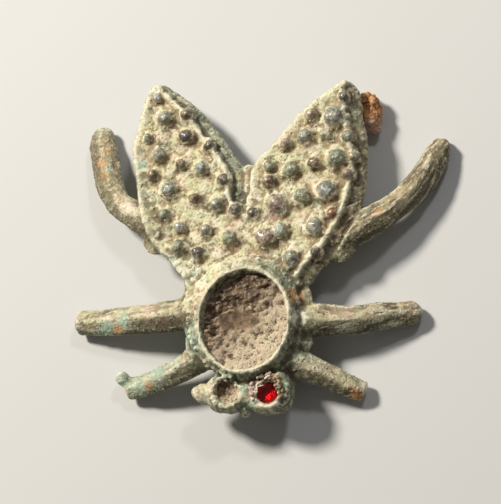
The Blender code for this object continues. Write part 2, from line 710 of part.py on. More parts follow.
def settle_origin(pieces):
    """Carries every piece on an empty that sets the origin on the ground below the box's middle."""
    corners = [piece.matrix_world @ Vector(corner) for piece in pieces for corner in piece.bound_box]
    low = Vector([min(corner[i] for corner in corners) for i in range(3)])
    high = Vector([max(corner[i] for corner in corners) for i in range(3)])
    frame = bpy.data.objects.new("fly_brooch_origin", None)
    bpy.context.scene.collection.objects.link(frame)
    frame.location = (-(low.x + high.x) / 2, -(low.y + high.y) / 2, -low.z)
    for piece in pieces:
        piece.parent = frame
    bpy.context.view_layer.update()


def main():
    clear_scene()
    brooch = new_collection("fly_brooch")
    cutters = new_collection("fly_brooch_cutters")
    pieces = [
        casting(brooch, cutters),
        cell_bedding(brooch),
        eye_bedding(brooch),
        eye_glass(brooch),
        iron_pin(brooch),
    ]
    bpy.context.view_layer.update()
    for piece in pieces:
        piece.data.shade_smooth()
        piece.data.set_sharp_from_angle(angle=math.radians(SHARP_ANGLE))
    settle_origin(pieces)


main()
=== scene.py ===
"""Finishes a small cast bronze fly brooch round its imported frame.

The casting is rebuilt finely from its solid, with raised pellets, corrosion relief and patina. The empty
cells get their decayed bedding, one eye its red glass, and the pin its rust. Shapes are made in
millimetres from the middle of the back cell, and brought to their place in metres last.
"""

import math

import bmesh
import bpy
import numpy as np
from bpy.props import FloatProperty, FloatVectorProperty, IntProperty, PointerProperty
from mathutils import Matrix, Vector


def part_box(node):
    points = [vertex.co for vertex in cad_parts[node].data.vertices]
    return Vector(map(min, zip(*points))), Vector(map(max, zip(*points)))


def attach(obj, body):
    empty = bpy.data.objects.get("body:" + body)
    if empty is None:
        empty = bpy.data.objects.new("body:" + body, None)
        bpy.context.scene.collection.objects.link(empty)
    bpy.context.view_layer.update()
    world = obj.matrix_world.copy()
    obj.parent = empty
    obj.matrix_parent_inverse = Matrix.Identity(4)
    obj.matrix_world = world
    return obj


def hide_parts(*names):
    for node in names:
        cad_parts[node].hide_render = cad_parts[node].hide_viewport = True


bl_info = {
    "name": "Fly Brooch Finish",
    "version": (1, 0, 0),
    "blender": (4, 5, 0),
    "location": "View3D > Sidebar > Brooch",
    "description": "Corroded casting, decayed cells, red glass and rusted pin of a fly brooch",
    "category": "Object",
}

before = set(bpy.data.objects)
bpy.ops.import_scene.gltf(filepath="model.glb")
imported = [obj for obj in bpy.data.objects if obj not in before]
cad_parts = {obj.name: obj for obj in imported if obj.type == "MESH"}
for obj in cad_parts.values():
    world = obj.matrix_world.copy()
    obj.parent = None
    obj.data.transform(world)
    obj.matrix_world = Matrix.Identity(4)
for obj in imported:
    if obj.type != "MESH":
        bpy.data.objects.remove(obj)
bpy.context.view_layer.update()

MM = 0.001
PER_MM = 1000.0

# Spacing of the remade skins of the beds and the pin
SPACING = 0.1
FINE_SPACING = 0.08

# The back cell's middle is the origin of every drawn place, in millimetres
CELL_LOW, CELL_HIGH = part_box("cell_bedding")
DRAWN_X = (CELL_LOW[0] + CELL_HIGH[0]) / 2 * PER_MM
DRAWN_Y = (CELL_LOW[1] + CELL_HIGH[1]) / 2 * PER_MM

# Tints of bare metal and corrosion on the pellets' crowns
TINTS = {
    "metal": (0.42, 0.40, 0.38),
    "dark": (0.13, 0.115, 0.10),
    "grey": (0.31, 0.31, 0.25),
    "blue": (0.29, 0.315, 0.28),
    "green": (0.30, 0.33, 0.23),
    "brown": (0.22, 0.16, 0.10),
    "pink": (0.42, 0.32, 0.25),
    "cream": (0.60, 0.54, 0.38),
    "pale": (0.50, 0.54, 0.44),
    "orange": (0.32, 0.12, 0.045),
}

# Pellets: x, y, radius and the tint of the crown
PELLETS = [
    (-8.9, 23.0, 0.45, "metal"), (-8.2, 20.8, 0.72, "grey"), (-6.0, 21.1, 0.58, "brown"),
    (-6.0, 18.9, 0.62, "dark"), (-9.8, 19.0, 0.4, "green"), (-8.7, 17.2, 0.68, "grey"),
    (-3.8, 17.8, 0.53, "dark"), (-6.5, 16.1, 0.53, "brown"), (-4.5, 15.6, 0.58, "blue"),
    (-9.4, 15.1, 0.56, "brown"), (-2.3, 14.3, 0.62, "dark"), (-7.7, 13.6, 0.72, "blue"),
    (-5.1, 12.6, 0.58, "brown"), (-2.9, 11.9, 0.62, "grey"), (-1.0, 11.2, 0.58, "dark"),
    (-8.2, 11.2, 0.58, "green"), (-6.6, 9.8, 0.53, "metal"), (-4.0, 9.4, 0.53, "grey"),
    (-1.6, 8.4, 0.78, "green"), (-6.8, 7.9, 0.62, "green"), (-4.8, 7.1, 0.64, "dark"),
    (9.7, 21.8, 0.48, "dark"), (8.8, 19.9, 0.95, "grey"), (6.5, 20.2, 0.58, "pink"),
    (5.9, 18.1, 0.68, "grey"), (4.0, 17.5, 0.53, "pink"), (7.9, 18.2, 0.56, "cream"),
    (10.1, 17.8, 0.56, "grey"), (9.1, 15.7, 0.9, "green"), (4.5, 14.9, 0.78, "green"),
    (6.8, 15.4, 0.58, "brown"), (2.3, 15.4, 0.45, "green"), (10.7, 15.8, 0.46, "cream"),
    (10.2, 14.1, 0.53, "pink"), (2.3, 13.8, 0.62, "brown"), (8.0, 12.6, 0.88, "blue"),
    (5.5, 12.2, 0.68, "green"), (3.0, 11.5, 0.95, "pink"), (8.6, 10.3, 0.53, "orange"),
    (0.7, 10.8, 0.55, "dark"), (6.9, 9.0, 0.82, "grey"), (3.5, 8.9, 0.68, "pale"),
    (1.9, 8.3, 0.92, "pink"), (4.5, 6.0, 0.74, "grey"), (6.9, 6.5, 0.48, "dark"),
]
WING_FIELD = 4.1
PELLET_SINK = 0.1
CROWN_FADE = (0.72, 1.3)
# Shift of the painted shadow beside each pellet towards its lower right, and where it fades, as shares of
# the radius
SHADOW_SHIFT = 0.5
SHADOW_FADE = (0.8, 1.6)

# Outlines of the wings, and the flank, rim and groove that follow them inside
LEFT_WING = [
    (-0.2, 12.2), (-0.3, 15.1), (-2.1, 18.1), (-5.0, 21.9), (-7.6, 24.0), (-9.2, 24.5),
    (-10.3, 23.1), (-11.0, 20.2), (-11.6, 17.8), (-11.3, 15.0), (-11.0, 12.6), (-10.4, 10.2),
    (-9.3, 8.3), (-8.0, 6.8), (-6.6, 5.1), (-5.4, 3.0), (-2.0, 1.0), (2.0, 4.5), (1.7, 9.0),
]
RIGHT_WING = [
    (-1.7, 8.8), (-2.0, 4.5), (2.0, 1.0), (5.6, 3.2), (6.9, 4.7), (8.5, 6.3), (9.8, 8.2),
    (11.0, 10.6), (11.7, 13.2), (11.9, 16.7), (11.4, 19.8), (11.1, 22.4), (10.0, 23.7),
    (8.5, 23.1), (5.7, 21.1), (2.2, 17.5), (0.3, 15.3), (0.1, 12.0),
]
OUTLINE_STEPS = 4
OUTSIDE = -9.0
FAR = 99.0
NARROW_INSET = 0.42
WIDE_INSET = 1.5
WIDE_SIDE = Vector((0.97, -0.24))
EDGE_LEVEL = 3.1
FLANK_TOP = 3.95
RIM_RISE = 0.42
RIM_WIDTH = 0.24
GROOVE_DEPTH = 0.32
GROOVE_INSET = 0.45
GROOVE_WIDTH = 0.17
SEAM_BLEND = 1.6
SEAM_FADE = (11.0, 14.0)
WINGS_MEET = (0.0, 14.2)
WINGS_MEET_REACH = (1.2, 1.6)

# The oval cell and the rounded wall round it
CELL_HALVES = (4.45, 5.05)
WALL_TOP = 5.38
WALL_PUSH = 0.3
WALL_STEEP_SIDE = math.radians(50)
BODY_HALVES = (5.75, 6.15)
BODY_MIDDLE = (0.0, 0.3)

# Middle lines of the legs, root first, which their grain and stains follow
LEG_LINES = [
    [
        (-7.4, 8.3), (-9.4, 10.2), (-11.4, 11.6), (-13.2, 13.0), (-14.1, 14.6), (-15.1, 18.4),
        (-15.4, 21.0),
    ],
    [
        (7.2, 6.3), (9.6, 8.1), (12.2, 9.6), (13.8, 10.7), (15.2, 11.8), (16.4, 13.1), (17.5, 14.8),
        (19.0, 18.0),
    ],
    [(-3.6, 1.1), (-7.0, 1.4), (-10.0, 1.3), (-14.2, 1.4), (-18.5, 1.7)],
    [(3.8, 0.2), (7.1, 0.1), (9.9, 0.0), (12.7, 0.4), (17.0, 0.8)],
    [(-2.9, -1.9), (-4.4, -2.8), (-5.9, -3.5), (-8.0, -4.3), (-10.2, -4.9), (-13.5, -5.3)],
    [(2.8, -2.9), (4.1, -3.7), (5.6, -4.4), (7.4, -5.2), (9.3, -6.2), (11.6, -7.0)],
]
FORELEG_UMBER = 0.6
FORELEG_UMBER_FROM = (7.0, 2.5)
FORELEG_UMBER_FADE = 2.5
LEG_GRAIN = (0.5, 1.5, 0.8, 1.3, 0.8, 0.8)
LEG_GRAIN_FROM = 2.6
LEG_GRAIN_FADE = 1.6
LEG_GRAIN_REACH = 2.3
TIP_STRETCH = {0: 0.4, 1: 0.38}
TIP_LENGTH = 4.5
ROD_FADE = (1.8, 2.4)

# How dark the painted shade on each leg's lower side is, negative where that side lies right of its line,
# and how far its tip pales
LEG_BELOW = (0.8, -1.0, 1.3, -1.0, 1.2, -1.0)
LEG_TIP_PALER = (0.0, 0.0, 0.65, 0.0, 0.6, 0.0)

# Stains on the casting, with a painted highlight among the white ones: x, y, reach and strength
STAINS = {
    "mossy": [
        (4.5, -7.2, 1.1, 2.0), (4.3, -6.2, 1.0, 1.6), (4.0, -8.3, 0.8, 1.4), (-5.9, 4.6, 0.8, 0.8),
        (-9.1, 11.1, 0.8, 1.9), (-8.7, 9.3, 0.6, 1.8), (-7.7, 7.2, 0.6, 1.6), (-9.9, 12.3, 0.5, 1.5),
        (-1.9, -8.6, 0.7, 0.6), (2.2, -9.3, 0.9, 1.4), (3.3, -9.0, 0.8, 1.4), (3.75, -7.0, 0.4, 1.2),
        (-1.4, 5.5, 0.8, 0.7), (0.4, 5.7, 0.8, 0.7), (1.9, 5.2, 0.8, 0.9), (3.1, 4.5, 0.8, 0.9),
        (4.7, -1.5, 1.2, 1.2), (5.5, -0.9, 0.8, 0.9), (4.8, 3.4, 0.9, 1.3), (-5.4, -3.6, 1.2, 1.2),
        (1.1, -5.0, 0.7, 1.1), (2.5, -4.6, 0.7, 1.1), (-0.4, -5.1, 0.6, 0.9), (-6.7, -4.4, 0.9, 0.9),
        (-6.4, 0.2, 0.9, 1.0), (10.9, -7.3, 0.8, 0.7), (3.9, -5.1, 0.8, 1.0), (6.2, -0.9, 0.8, 0.9),
        (-14.6, 12.9, 0.9, 0.8), (-12.6, 11.0, 1.0, 0.9), (8.9, 6.1, 1.0, 0.8), (12.6, 8.9, 1.0, 0.9),
    ],
    "patina": [
        (-10.3, 14.9, 0.8, 1.5), (-10.4, 13.3, 0.7, 1.5), (-10.6, 17.6, 0.5, 1.3), (-3.9, -7.3, 0.8, 0.9),
        (-0.5, 5.4, 1.0, 0.9), (1.2, 5.4, 1.0, 1.0), (2.6, 4.9, 1.0, 1.1), (3.9, 3.8, 1.0, 1.1),
        (4.3, -7.2, 0.9, 1.8), (4.1, -6.0, 0.9, 1.6), (3.8, -8.4, 0.8, 1.4), (-15.3, 20.6, 0.8, 1.0),
        (-14.6, 17.6, 0.5, 0.9), (-9.0, -4.2, 1.4, 0.9), (-11.6, -4.8, 1.1, 0.8), (9.6, -0.8, 1.2, 0.8),
        (13.6, -0.5, 1.4, 0.7), (-9.6, 23.4, 0.6, 0.9), (9.9, 20.3, 1.6, 0.8), (8.6, 17.0, 1.2, 0.6),
        (-9.6, 12.6, 1.1, 0.7), (-8.1, 9.6, 0.9, 0.7), (2.6, 5.4, 1.0, 0.6), (5.4, -4.2, 1.0, 0.7),
        (-2.7, -4.9, 0.8, 0.8),
    ],
    "verdigris": [
        (-5.5, -0.3, 0.9, 1.0), (-5.1, -1.8, 1.2, 1.1), (-13.1, -4.3, 1.2, 1.5), (-1.0, -5.6, 0.7, 0.9),
        (0.1, -6.9, 0.8, 1.0), (0.4, -8.2, 0.7, 1.0), (4.0, -6.6, 0.7, 0.6), (-7.0, 6.4, 0.8, 0.8),
        (-9.4, -4.1, 1.6, 0.85), (-11.4, -4.9, 1.5, 0.85), (-7.6, -3.2, 1.2, 0.75), (-14.6, 0.4, 1.3, 0.9),
        (-5.2, 5.6, 1.0, 0.7), (8.2, 13.4, 0.7, 0.6), (-12.7, 1.2, 0.9, 1.0), (-13.9, 0.6, 0.8, 0.8),
        (-10.5, 16.3, 0.8, 1.3), (-14.1, 16.6, 0.4, 1.0), (-1.9, 12.6, 0.6, 0.8), (-7.6, 14.5, 0.7, 0.5),
        (3.2, 8.0, 0.7, 0.6),
    ],
    "rust": [
        (-15.0, 17.3, 0.6, 1.1), (-14.8, 16.0, 0.5, 1.1), (-14.3, 18.6, 0.5, 0.9), (-13.3, 0.4, 0.6, 1.0),
        (-10.2, -5.2, 0.5, 0.9), (13.0, 10.2, 0.6, 1.0), (10.3, -7.1, 0.8, 1.3), (5.0, 2.3, 0.9, 1.1),
        (-12.2, 12.0, 0.8, 0.6), (-11.3, 13.4, 0.7, 0.6), (-3.0, -6.7, 0.5, 0.8), (3.3, -6.5, 0.4, 1.1),
        (8.6, 10.3, 0.5, 0.8), (8.3, 8.8, 1.0, 0.7), (15.0, 1.6, 0.5, 0.9),
    ],
    "rosy": [
        (0.9, -6.9, 0.4, 1.2), (1.0, -7.6, 0.35, 1.1), (3.6, 18.0, 0.4, 0.9), (-1.6, 11.0, 0.5, 0.8),
        (-7.4, 20.0, 0.6, 0.7), (3.2, -6.3, 0.3, 0.8), (-2.7, -6.2, 0.5, 1.1), (-12.0, 12.5, 1.0, 0.9),
        (-9.8, 2.2, 1.2, 0.7), (9.6, 1.0, 0.9, 0.7), (-1.3, 9.6, 0.8, 0.7), (2.6, 10.2, 0.9, 0.7),
        (0.7, 6.4, 0.9, 0.7),
    ],
    "white": [
        # The white spots below the glass, at y from -8.2 to -8.65, are a painted highlight along its lip
        (11.1, -6.3, 0.5, 1.2), (5.3, 0.1, 0.8, 1.6), (1.6, -8.55, 0.35, 1.1), (2.4, -8.65, 0.35, 1.2),
        (3.1, -8.35, 0.3, 1.0), (0.9, -8.2, 0.3, 0.6), (-0.6, 5.9, 0.7, 0.8), (-3.6, -6.5, 0.5, 0.9),
        (5.2, 7.3, 0.7, 0.7), (-12.3, 12.3, 1.0, 0.9), (-11.2, 11.7, 0.8, 0.8), (-2.2, 10.0, 0.6, 0.6),
        (0.0, 13.5, 1.0, 0.9), (-5.3, 2.2, 0.8, 0.7),
    ],
    "brown": [
        (3.1, -6.2, 0.5, 1.3), (3.4, -6.8, 0.5, 1.3), (3.6, -7.9, 0.5, 1.5), (-17.6, 1.4, 0.9, 0.9),
        (-9.0, 11.2, 0.5, 1.3), (-8.7, 9.1, 0.4, 1.2), (3.3, -7.4, 0.4, 1.1), (15.6, 1.2, 0.9, 1.0),
        (-6.0, 0.5, 1.0, 1.2), (-8.6, 0.4, 1.0, 1.1), (10.9, -7.0, 0.9, 0.9), (18.2, 16.4, 1.0, 0.9),
        (-14.2, 14.9, 1.0, 0.5), (2.2, -7.2, 1.3, 0.35), (12.0, 8.9, 1.4, 0.7), (1.9, 8.0, 1.0, 0.4),
        (-3.4, -6.0, 0.3, 0.6), (-9.5, 15.0, 0.7, 0.7), (-8.4, 11.0, 0.7, 0.6),
    ],
}

# Each stain's colour, in the order in which they lie over each other
STAIN_TONES = {
    "patina": "patina", "mossy": "olive", "verdigris": "verdigris", "rust": "rust", "brown": "dirt",
    "rosy": "rosy", "white": "pale",
}

# The eye cells, and the sunk ground, brown ring and raised lip round the glass, the lip painted pale as a
# highlight
GLASS_EYE = (2.2, -7.2)
EMPTY_EYE = (-1.75, -6.8)
SOCKET_SINK = 0.24
GLASS_COLLAR = 1.14
GLASS_COLLAR_WIDTH = 0.12
LIP_SIDE = Vector((0.25, -0.97))
LIP_RADIUS = 1.42
LIP_WIDTH = 0.17
LIP_RISE = 0.14
# Strength of the umber on the wall below the glass, where it is painted shade, and on a spot beside the
# glass
GLASS_UMBER = 0.9
UMBER_SPOT = (3.45, -6.75)

# Flakes of crust round the glass: place from its middle, turn in degrees, half length, half width and tone
FLAKES = [
    (-0.56, 0.70, 26, 0.36, 0.07, "pale"), (-0.96, 0.48, -70, 0.30, 0.07, "pale"),
    (-0.72, 0.97, 22, 0.44, 0.13, "pale"), (-1.28, 1.30, 15, 0.30, 0.17, "rosy"),
    (-1.02, 1.18, 38, 0.24, 0.13, "maroon"), (-0.34, 1.22, 28, 0.38, 0.12, "maroon"),
    (0.06, 1.50, 16, 0.36, 0.13, "pale"), (0.34, 1.26, 6, 0.22, 0.12, "maroon"),
    (-0.42, 1.52, 10, 0.28, 0.14, "maroon"), (0.18, 1.80, 22, 0.38, 0.14, "rosy"),
    (-0.66, 1.78, 32, 0.26, 0.15, "rosy"), (-1.46, 0.92, 78, 0.24, 0.17, "rosy"),
    (-1.50, 0.42, 95, 0.26, 0.18, "rosy"), (-1.42, -0.12, 84, 0.24, 0.18, "rosy"),
    (-1.36, -0.56, 104, 0.24, 0.16, "pale"), (0.56, 1.66, 44, 0.20, 0.15, "golden"),
    (0.76, 1.24, 60, 0.19, 0.15, "golden"), (0.98, 0.98, 20, 0.18, 0.13, "maroon"),
    (0.92, 0.62, 75, 0.20, 0.12, "golden"), (1.04, 0.28, 95, 0.17, 0.12, "golden"),
    (1.28, 0.92, 110, 0.19, 0.16, "golden"), (1.34, 0.46, 30, 0.18, 0.15, "maroon"),
    (1.20, 0.00, 85, 0.19, 0.13, "pale"), (1.58, 0.12, 70, 0.19, 0.16, "golden"),
    (1.46, -0.42, 50, 0.20, 0.15, "golden"), (1.14, 1.36, 130, 0.20, 0.17, "golden"),
]
FLAKE_TONES = {
    "pale": {"rosy": 1.2, "white": 0.95}, "rosy": {"brown": 1.2, "rosy": 0.95, "white": 0.15},
    "golden": {"rust": 0.9, "brown": 0.75}, "maroon": {"brown": 1.5, "rosy": 0.35},
}
FLAKE_SIDE = Vector((-0.47, 0.88))
FLAKE_DEPTH = 0.15
FLAKE_SINK = 0.01
FLAKE_SPREAD = 1.2
GLASS_REACH = 1.15
GLASS_EDGE_LEVEL = 4.76

# The glass's broken outline from its middle, and the height of its base, girdle and crown
GEM_OUTLINE = [
    (-0.98, -0.55), (-0.62, -0.88), (0.1, -1.02), (0.72, -0.86), (1.02, -0.42), (0.98, 0.08),
    (0.66, 0.38), (0.6, 0.84), (0.08, 0.98), (-0.42, 0.72), (-0.96, 0.42), (-1.03, -0.08),
]
GEM_LEVELS = (4.02, 4.6, 4.95)

# The lump of rust at the axle's end: x, y, height and half sizes
RUST_LUMP = [
    (11.3, 22.1, 1.4, 0.8, 0.85, 0.8), (11.9, 21.7, 1.4, 0.8, 0.9, 0.8), (11.2, 21.0, 1.4, 0.8, 1.1, 0.8),
    (12.35, 21.1, 1.3, 0.6, 0.55, 0.6), (11.8, 20.3, 1.3, 0.5, 0.8, 0.55),
    (11.95, 19.4, 1.2, 0.22, 0.6, 0.3),
]
DUSTY_END = (19.2, 20.6)

# The beds of the cells: middle, half sizes, height, rises up the wall, and the mesh's rings and sides
CELL_BED = ((0.0, 0.0), (4.44, 5.04), 3.85, (0.6, 1.36), 40, 120)
EYE_BED = (EMPTY_EYE, (1.2, 1.2), 4.0, (0.35, 0.7), 18, 64)
GLASS_BED = (GLASS_EYE, (1.14, 1.14), 3.92, (0.5, 0.5), 12, 40)
BED_CURVE = 2.4
BED_THICKNESS = 0.25

# The lit side of the beds, and the flat spot and the way of the streaks on the cell's
LIT_SIDE = (0.66, -0.75)
GLASS_LIT_SIDE = (0.8, -0.6)
CELL_STREAKS = ((0.95, 0.3), (-0.3, 0.95))
FLAT_SPOT = (-0.8, 0.3)
FLAT_REACH = (2.6, 1.1)

# Crust round both eye cells: x, y and reach
EYE_CRUST_LEVEL = 4.84
EYE_CRUST_HEIGHT = 1.7
EYE_CRUST = [
    (0.78, -6.1, 0.15), (0.74, -6.4, 0.14), (0.8, -6.72, 0.15), (0.78, -7.05, 0.13), (0.88, -7.35, 0.15),
    (0.98, -7.66, 0.14), (1.14, -7.92, 0.15), (1.08, -6.8, 0.12), (1.14, -7.15, 0.1), (2.42, -5.98, 0.12),
    (2.7, -6.05, 0.13), (3.0, -5.9, 0.16), (3.05, -6.25, 0.14), (3.3, -6.15, 0.17), (3.32, -6.52, 0.15),
    (3.5, -6.45, 0.14), (3.42, -6.88, 0.16), (3.62, -7.1, 0.14), (3.42, -7.3, 0.13), (3.55, -7.6, 0.15),
    (3.36, -7.95, 0.14), (1.28, -5.72, 0.15), (1.85, -5.7, 0.14), (2.4, -5.62, 0.15), (-3.25, -6.9, 0.18),
    (-3.15, -7.45, 0.2), (-2.8, -7.95, 0.24), (-2.3, -8.25, 0.2), (-1.75, -8.4, 0.22), (-1.1, -8.25, 0.18),
    (-3.0, -6.2, 0.18), (-2.6, -5.6, 0.2), (-2.05, -5.4, 0.18), (-1.3, -5.35, 0.15), (-0.35, -6.6, 0.14),
]

# Crust along the left wing's lower edge: x, y and reach
EDGE_CRUST = [
    (-9.5, 11.9, 0.32), (-9.1, 11.2, 0.4), (-9.7, 11.1, 0.3), (-9.35, 10.5, 0.38), (-8.8, 10.3, 0.3),
    (-9.1, 9.8, 0.34), (-8.7, 9.2, 0.38), (-8.2, 9.6, 0.26), (-8.3, 8.6, 0.34), (-8.0, 8.0, 0.36),
    (-7.5, 7.4, 0.32), (-7.3, 6.8, 0.36), (-6.8, 6.3, 0.3), (-10.0, 13.4, 0.3), (-10.2, 14.6, 0.34),
    (-10.3, 15.8, 0.28), (-5.9, 5.3, 0.34), (-5.3, 4.4, 0.3),
]

# Height and sink of a lump on an edge as shares of its reach, and how near a level is read
LUMP_HEIGHT = 0.75
LUMP_SINK = 0.15
LEVEL_REACH = 0.16

# Lumps on the cell's rim: how many, and the range of their angles, distances outside the crest and reaches,
# with the steps that spread them unevenly over those ranges
RIM_LUMPS = 34
RIM_LUMP_ANGLES = (70, 265)
RIM_LUMP_OFFSETS = (0.2, 1.1)
RIM_LUMP_REACHES = (0.15, 0.3)
RIM_LUMP_STEPS = (0.618, 0.755, 0.357)

# Blobs that fill the corners between legs, wings and body: x, y, height and half sizes
CORNERS = [
    (5.1, 2.1, 3.1, 1.1, 1.2, 0.7), (4.9, -1.9, 3.0, 1.1, 1.1, 0.7), (-5.4, 3.0, 3.1, 1.1, 1.2, 0.8),
    (-5.0, -1.4, 3.1, 1.1, 1.1, 0.8), (5.6, 0.1, 3.2, 1.3, 1.35, 1.0), (-5.6, 1.3, 3.2, 1.3, 1.35, 1.0),
    (4.2, -3.6, 3.1, 1.1, 1.1, 0.9), (-4.4, -2.9, 3.1, 1.1, 1.1, 0.9), (-9.0, 9.2, 3.0, 1.4, 1.4, 0.7),
    (9.0, 7.4, 3.0, 1.5, 1.4, 0.7), (2.3, -5.7, 4.05, 0.9, 0.5, 0.5), (1.3, -6.0, 4.05, 0.6, 0.5, 0.5),
]

# The photograph's view: its right, up and back directions and where its middle falls, in drawn millimetres
VIEW_RIGHT = Vector((0.9684, 0.0, -0.2492))
VIEW_UP = Vector((0.0603, 0.9703, 0.2342))
VIEW_BACK = Vector((0.2418, -0.2418, 0.9397))
VIEW_MIDDLE = (-0.6215, 7.730, 2.166)
VIEW_HEIGHT = 48.64
VIEW_DISTANCE = 600.0
SENSOR = 36.0


class Wiring:
    """Adds nodes to a tree, with their inputs given in order as values or as sockets to link."""

    def __init__(self, tree):
        self.tree = tree

    def feed(self, sockets, sources):
        for socket, source in zip(sockets, sources):
            if isinstance(source, bpy.types.NodeSocket):
                self.link(source, socket)
            elif source is not None:
                socket.default_value = source

    def link(self, source, socket):
        self.tree.links.new(source, socket)

    def add(self, kind, *sources, **settings):
        node = self.tree.nodes.new(kind)
        for name, value in settings.items():
            setattr(node, name, value)
        self.feed([socket for socket in node.inputs if socket.enabled], sources)
        return node

    def out(self, kind, *sources, **settings):
        """The first output of a new node."""
        node = self.add(kind, *sources, **settings)
        return next(socket for socket in node.outputs if socket.enabled)

    def group(self, build, *sources):
        """The outputs of a shared group."""
        node = self.tree.nodes.new("ShaderNodeGroup")
        node.node_tree = shared_tree(build)
        self.feed(node.inputs, sources)
        return node.outputs

    def math(self, operation, *values):
        return self.out("ShaderNodeMath", *values, operation=operation)

    def plus(self, first, second):
        return self.math("ADD", first, second)

    def minus(self, first, second):
        return self.math("SUBTRACT", first, second)

    def times(self, first, second):
        return self.math("MULTIPLY", first, second)

    def times_plus(self, value, factor, addend):
        return self.math("MULTIPLY_ADD", value, factor, addend)

    def vector(self, operation, *values):
        return self.out("ShaderNodeVectorMath", *values, operation=operation)

    def mix(self, share, first, second):
        return self.out("ShaderNodeMix", share, first, second, data_type="RGBA")

    def span(self, value, low, high, to_low=0.0, to_high=1.0):
        """The value taken smoothly from one range to another."""
        return self.out(
            "ShaderNodeMapRange", value, low, high, to_low, to_high, interpolation_type="SMOOTHSTEP"
        )

    def noise(self, place, size, detail=3.0, roughness=0.55, seed=0.0):
        """Noise from 0 to 1 with forms about as large as the size."""
        scale = 1.0 / size if isinstance(size, float) else self.math("DIVIDE", 1.0, size)
        return self.out("ShaderNodeTexNoise", place, seed, scale, detail, roughness, noise_dimensions="4D")

    def read(self, name, output="Fac"):
        """A mark on the mesh, in a material."""
        return self.add("ShaderNodeAttribute", attribute_name=name).outputs[output]

    def field(self, name, kind="FLOAT"):
        """A mark on the mesh, in a Geometry Nodes tree."""
        return self.out("GeometryNodeInputNamedAttribute", name, data_type=kind)

    def store(self, skin, name, value):
        return self.out(
            "GeometryNodeStoreNamedAttribute", skin, None, name, value, data_type="FLOAT", domain="POINT"
        )


SOCKET_KINDS = {float: "Float", int: "Int", tuple: "Vector"}


def new_tree(name, kind, inputs, outputs):
    """A tree's wiring and ends. Each input is given as its default, or like an output as its kind."""
    tree = bpy.data.node_groups.new(name, kind)
    for label, default in inputs.items():
        socket_kind = SOCKET_KINDS.get(type(default), default)
        socket = tree.interface.new_socket(label, in_out="INPUT", socket_type="NodeSocket" + socket_kind)
        if socket_kind != default:
            socket.default_value = default
    for label, socket_kind in outputs.items():
        tree.interface.new_socket(label, in_out="OUTPUT", socket_type="NodeSocket" + socket_kind)
    given = tree.nodes.new("NodeGroupInput").outputs
    return Wiring(tree), given, tree.nodes.new("NodeGroupOutput").inputs


def shared_tree(build):
    """The tree that a function builds under its own name, made when it is first asked for."""
    return bpy.data.node_groups.get(build.__name__) or build()


def run_tree(obj, build, values):
    """Puts a shared Geometry Nodes tree on an object, with its inputs set by identifier."""
    tree = shared_tree(build)
    modifier = obj.modifiers.new(tree.name, "NODES")
    modifier.node_group = tree
    for item in tree.interface.items_tree:
        if item.in_out == "INPUT" and item.name in values:
            modifier[item.identifier] = values[item.name]
    return settled(obj)


def settled(obj):
    """Makes an object's evaluated shape its plain mesh and removes the modifiers."""
    graph = bpy.context.evaluated_depsgraph_get()
    shape = obj.evaluated_get(graph)
    mesh = bpy.data.meshes.new_from_object(shape, preserve_all_data_layers=True, depsgraph=graph)
    previous = obj.data
    obj.modifiers.clear()
    obj.data = mesh
    bpy.data.meshes.remove(previous)
    return obj


def linked_object(name, mesh):
    obj = bpy.data.objects.new(name, mesh)
    bpy.context.scene.collection.objects.link(obj)
    return obj


def mesh_object(name, shape):
    """A linked object from mesh data that is then freed."""
    mesh = bpy.data.meshes.new(name)
    shape.to_mesh(mesh)
    shape.free()
    return linked_object(name, mesh)


def node_copy(name, node):
    """A welded copy of a solid in drawn millimetres."""
    shape = bmesh.new()
    shape.from_mesh(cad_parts[node].data)
    place = Matrix.Translation((-DRAWN_X, -DRAWN_Y, 0.0)) @ Matrix.Scale(PER_MM, 4)
    bmesh.ops.transform(shape, matrix=place, verts=shape.verts)
    bmesh.ops.remove_doubles(shape, verts=shape.verts, dist=MM)
    return mesh_object(name, shape)


def remeshed(obj, voxel, smoothing):
    """Rebuilds an object's skin evenly and softens it."""
    remesh = obj.modifiers.new("even_skin", "REMESH")
    remesh.mode = "VOXEL"
    remesh.voxel_size = voxel
    smooth = obj.modifiers.new("softened", "SMOOTH")
    smooth.factor = 0.5
    smooth.iterations = smoothing
    return settled(obj)


def joined(target, others):
    """Adds other meshes to an object's mesh as loose shells."""
    shape = bmesh.new()
    for obj in [target, *others]:
        shape.from_mesh(obj.data)
    for obj in others:
        mesh = obj.data
        bpy.data.objects.remove(obj)
        bpy.data.meshes.remove(mesh)
    shape.to_mesh(target.data)
    shape.free()
    return target


def vertex_places(mesh):
    """Every vertex and its normal as two arrays."""
    places = np.empty(len(mesh.vertices) * 3, np.float32)
    normals = np.empty_like(places)
    mesh.vertices.foreach_get("co", places)
    mesh.vertices.foreach_get("normal", normals)
    return places.reshape(-1, 3), normals.reshape(-1, 3)


def move_vertices(mesh, places):
    mesh.vertices.foreach_set("co", np.ascontiguousarray(places, np.float32).ravel())
    mesh.update()


def mark(mesh, name, values, kind="FLOAT"):
    """Writes a value for every vertex, which trees and materials read by its name."""
    field = {"FLOAT": "value", "FLOAT_VECTOR": "vector", "FLOAT_COLOR": "color"}[kind]
    attribute = mesh.attributes.new(name, kind, "POINT")
    attribute.data.foreach_set(field, np.ascontiguousarray(values, np.float32).ravel())


def ramp(values, low, high):
    """From 0 at the low value smoothly up to 1 at the high one."""
    share = np.clip((values - low) / (high - low), 0.0, 1.0)
    return share * share * (3.0 - 2.0 * share)


def fade(values, low, high):
    """From 1 at the low value smoothly down to 0 at the high one."""
    return 1.0 - ramp(values, low, high)


def bell(values, middle, width):
    """1 at the middle value and smoothly less to both sides."""
    return np.exp(-((values - middle) / width) ** 2)


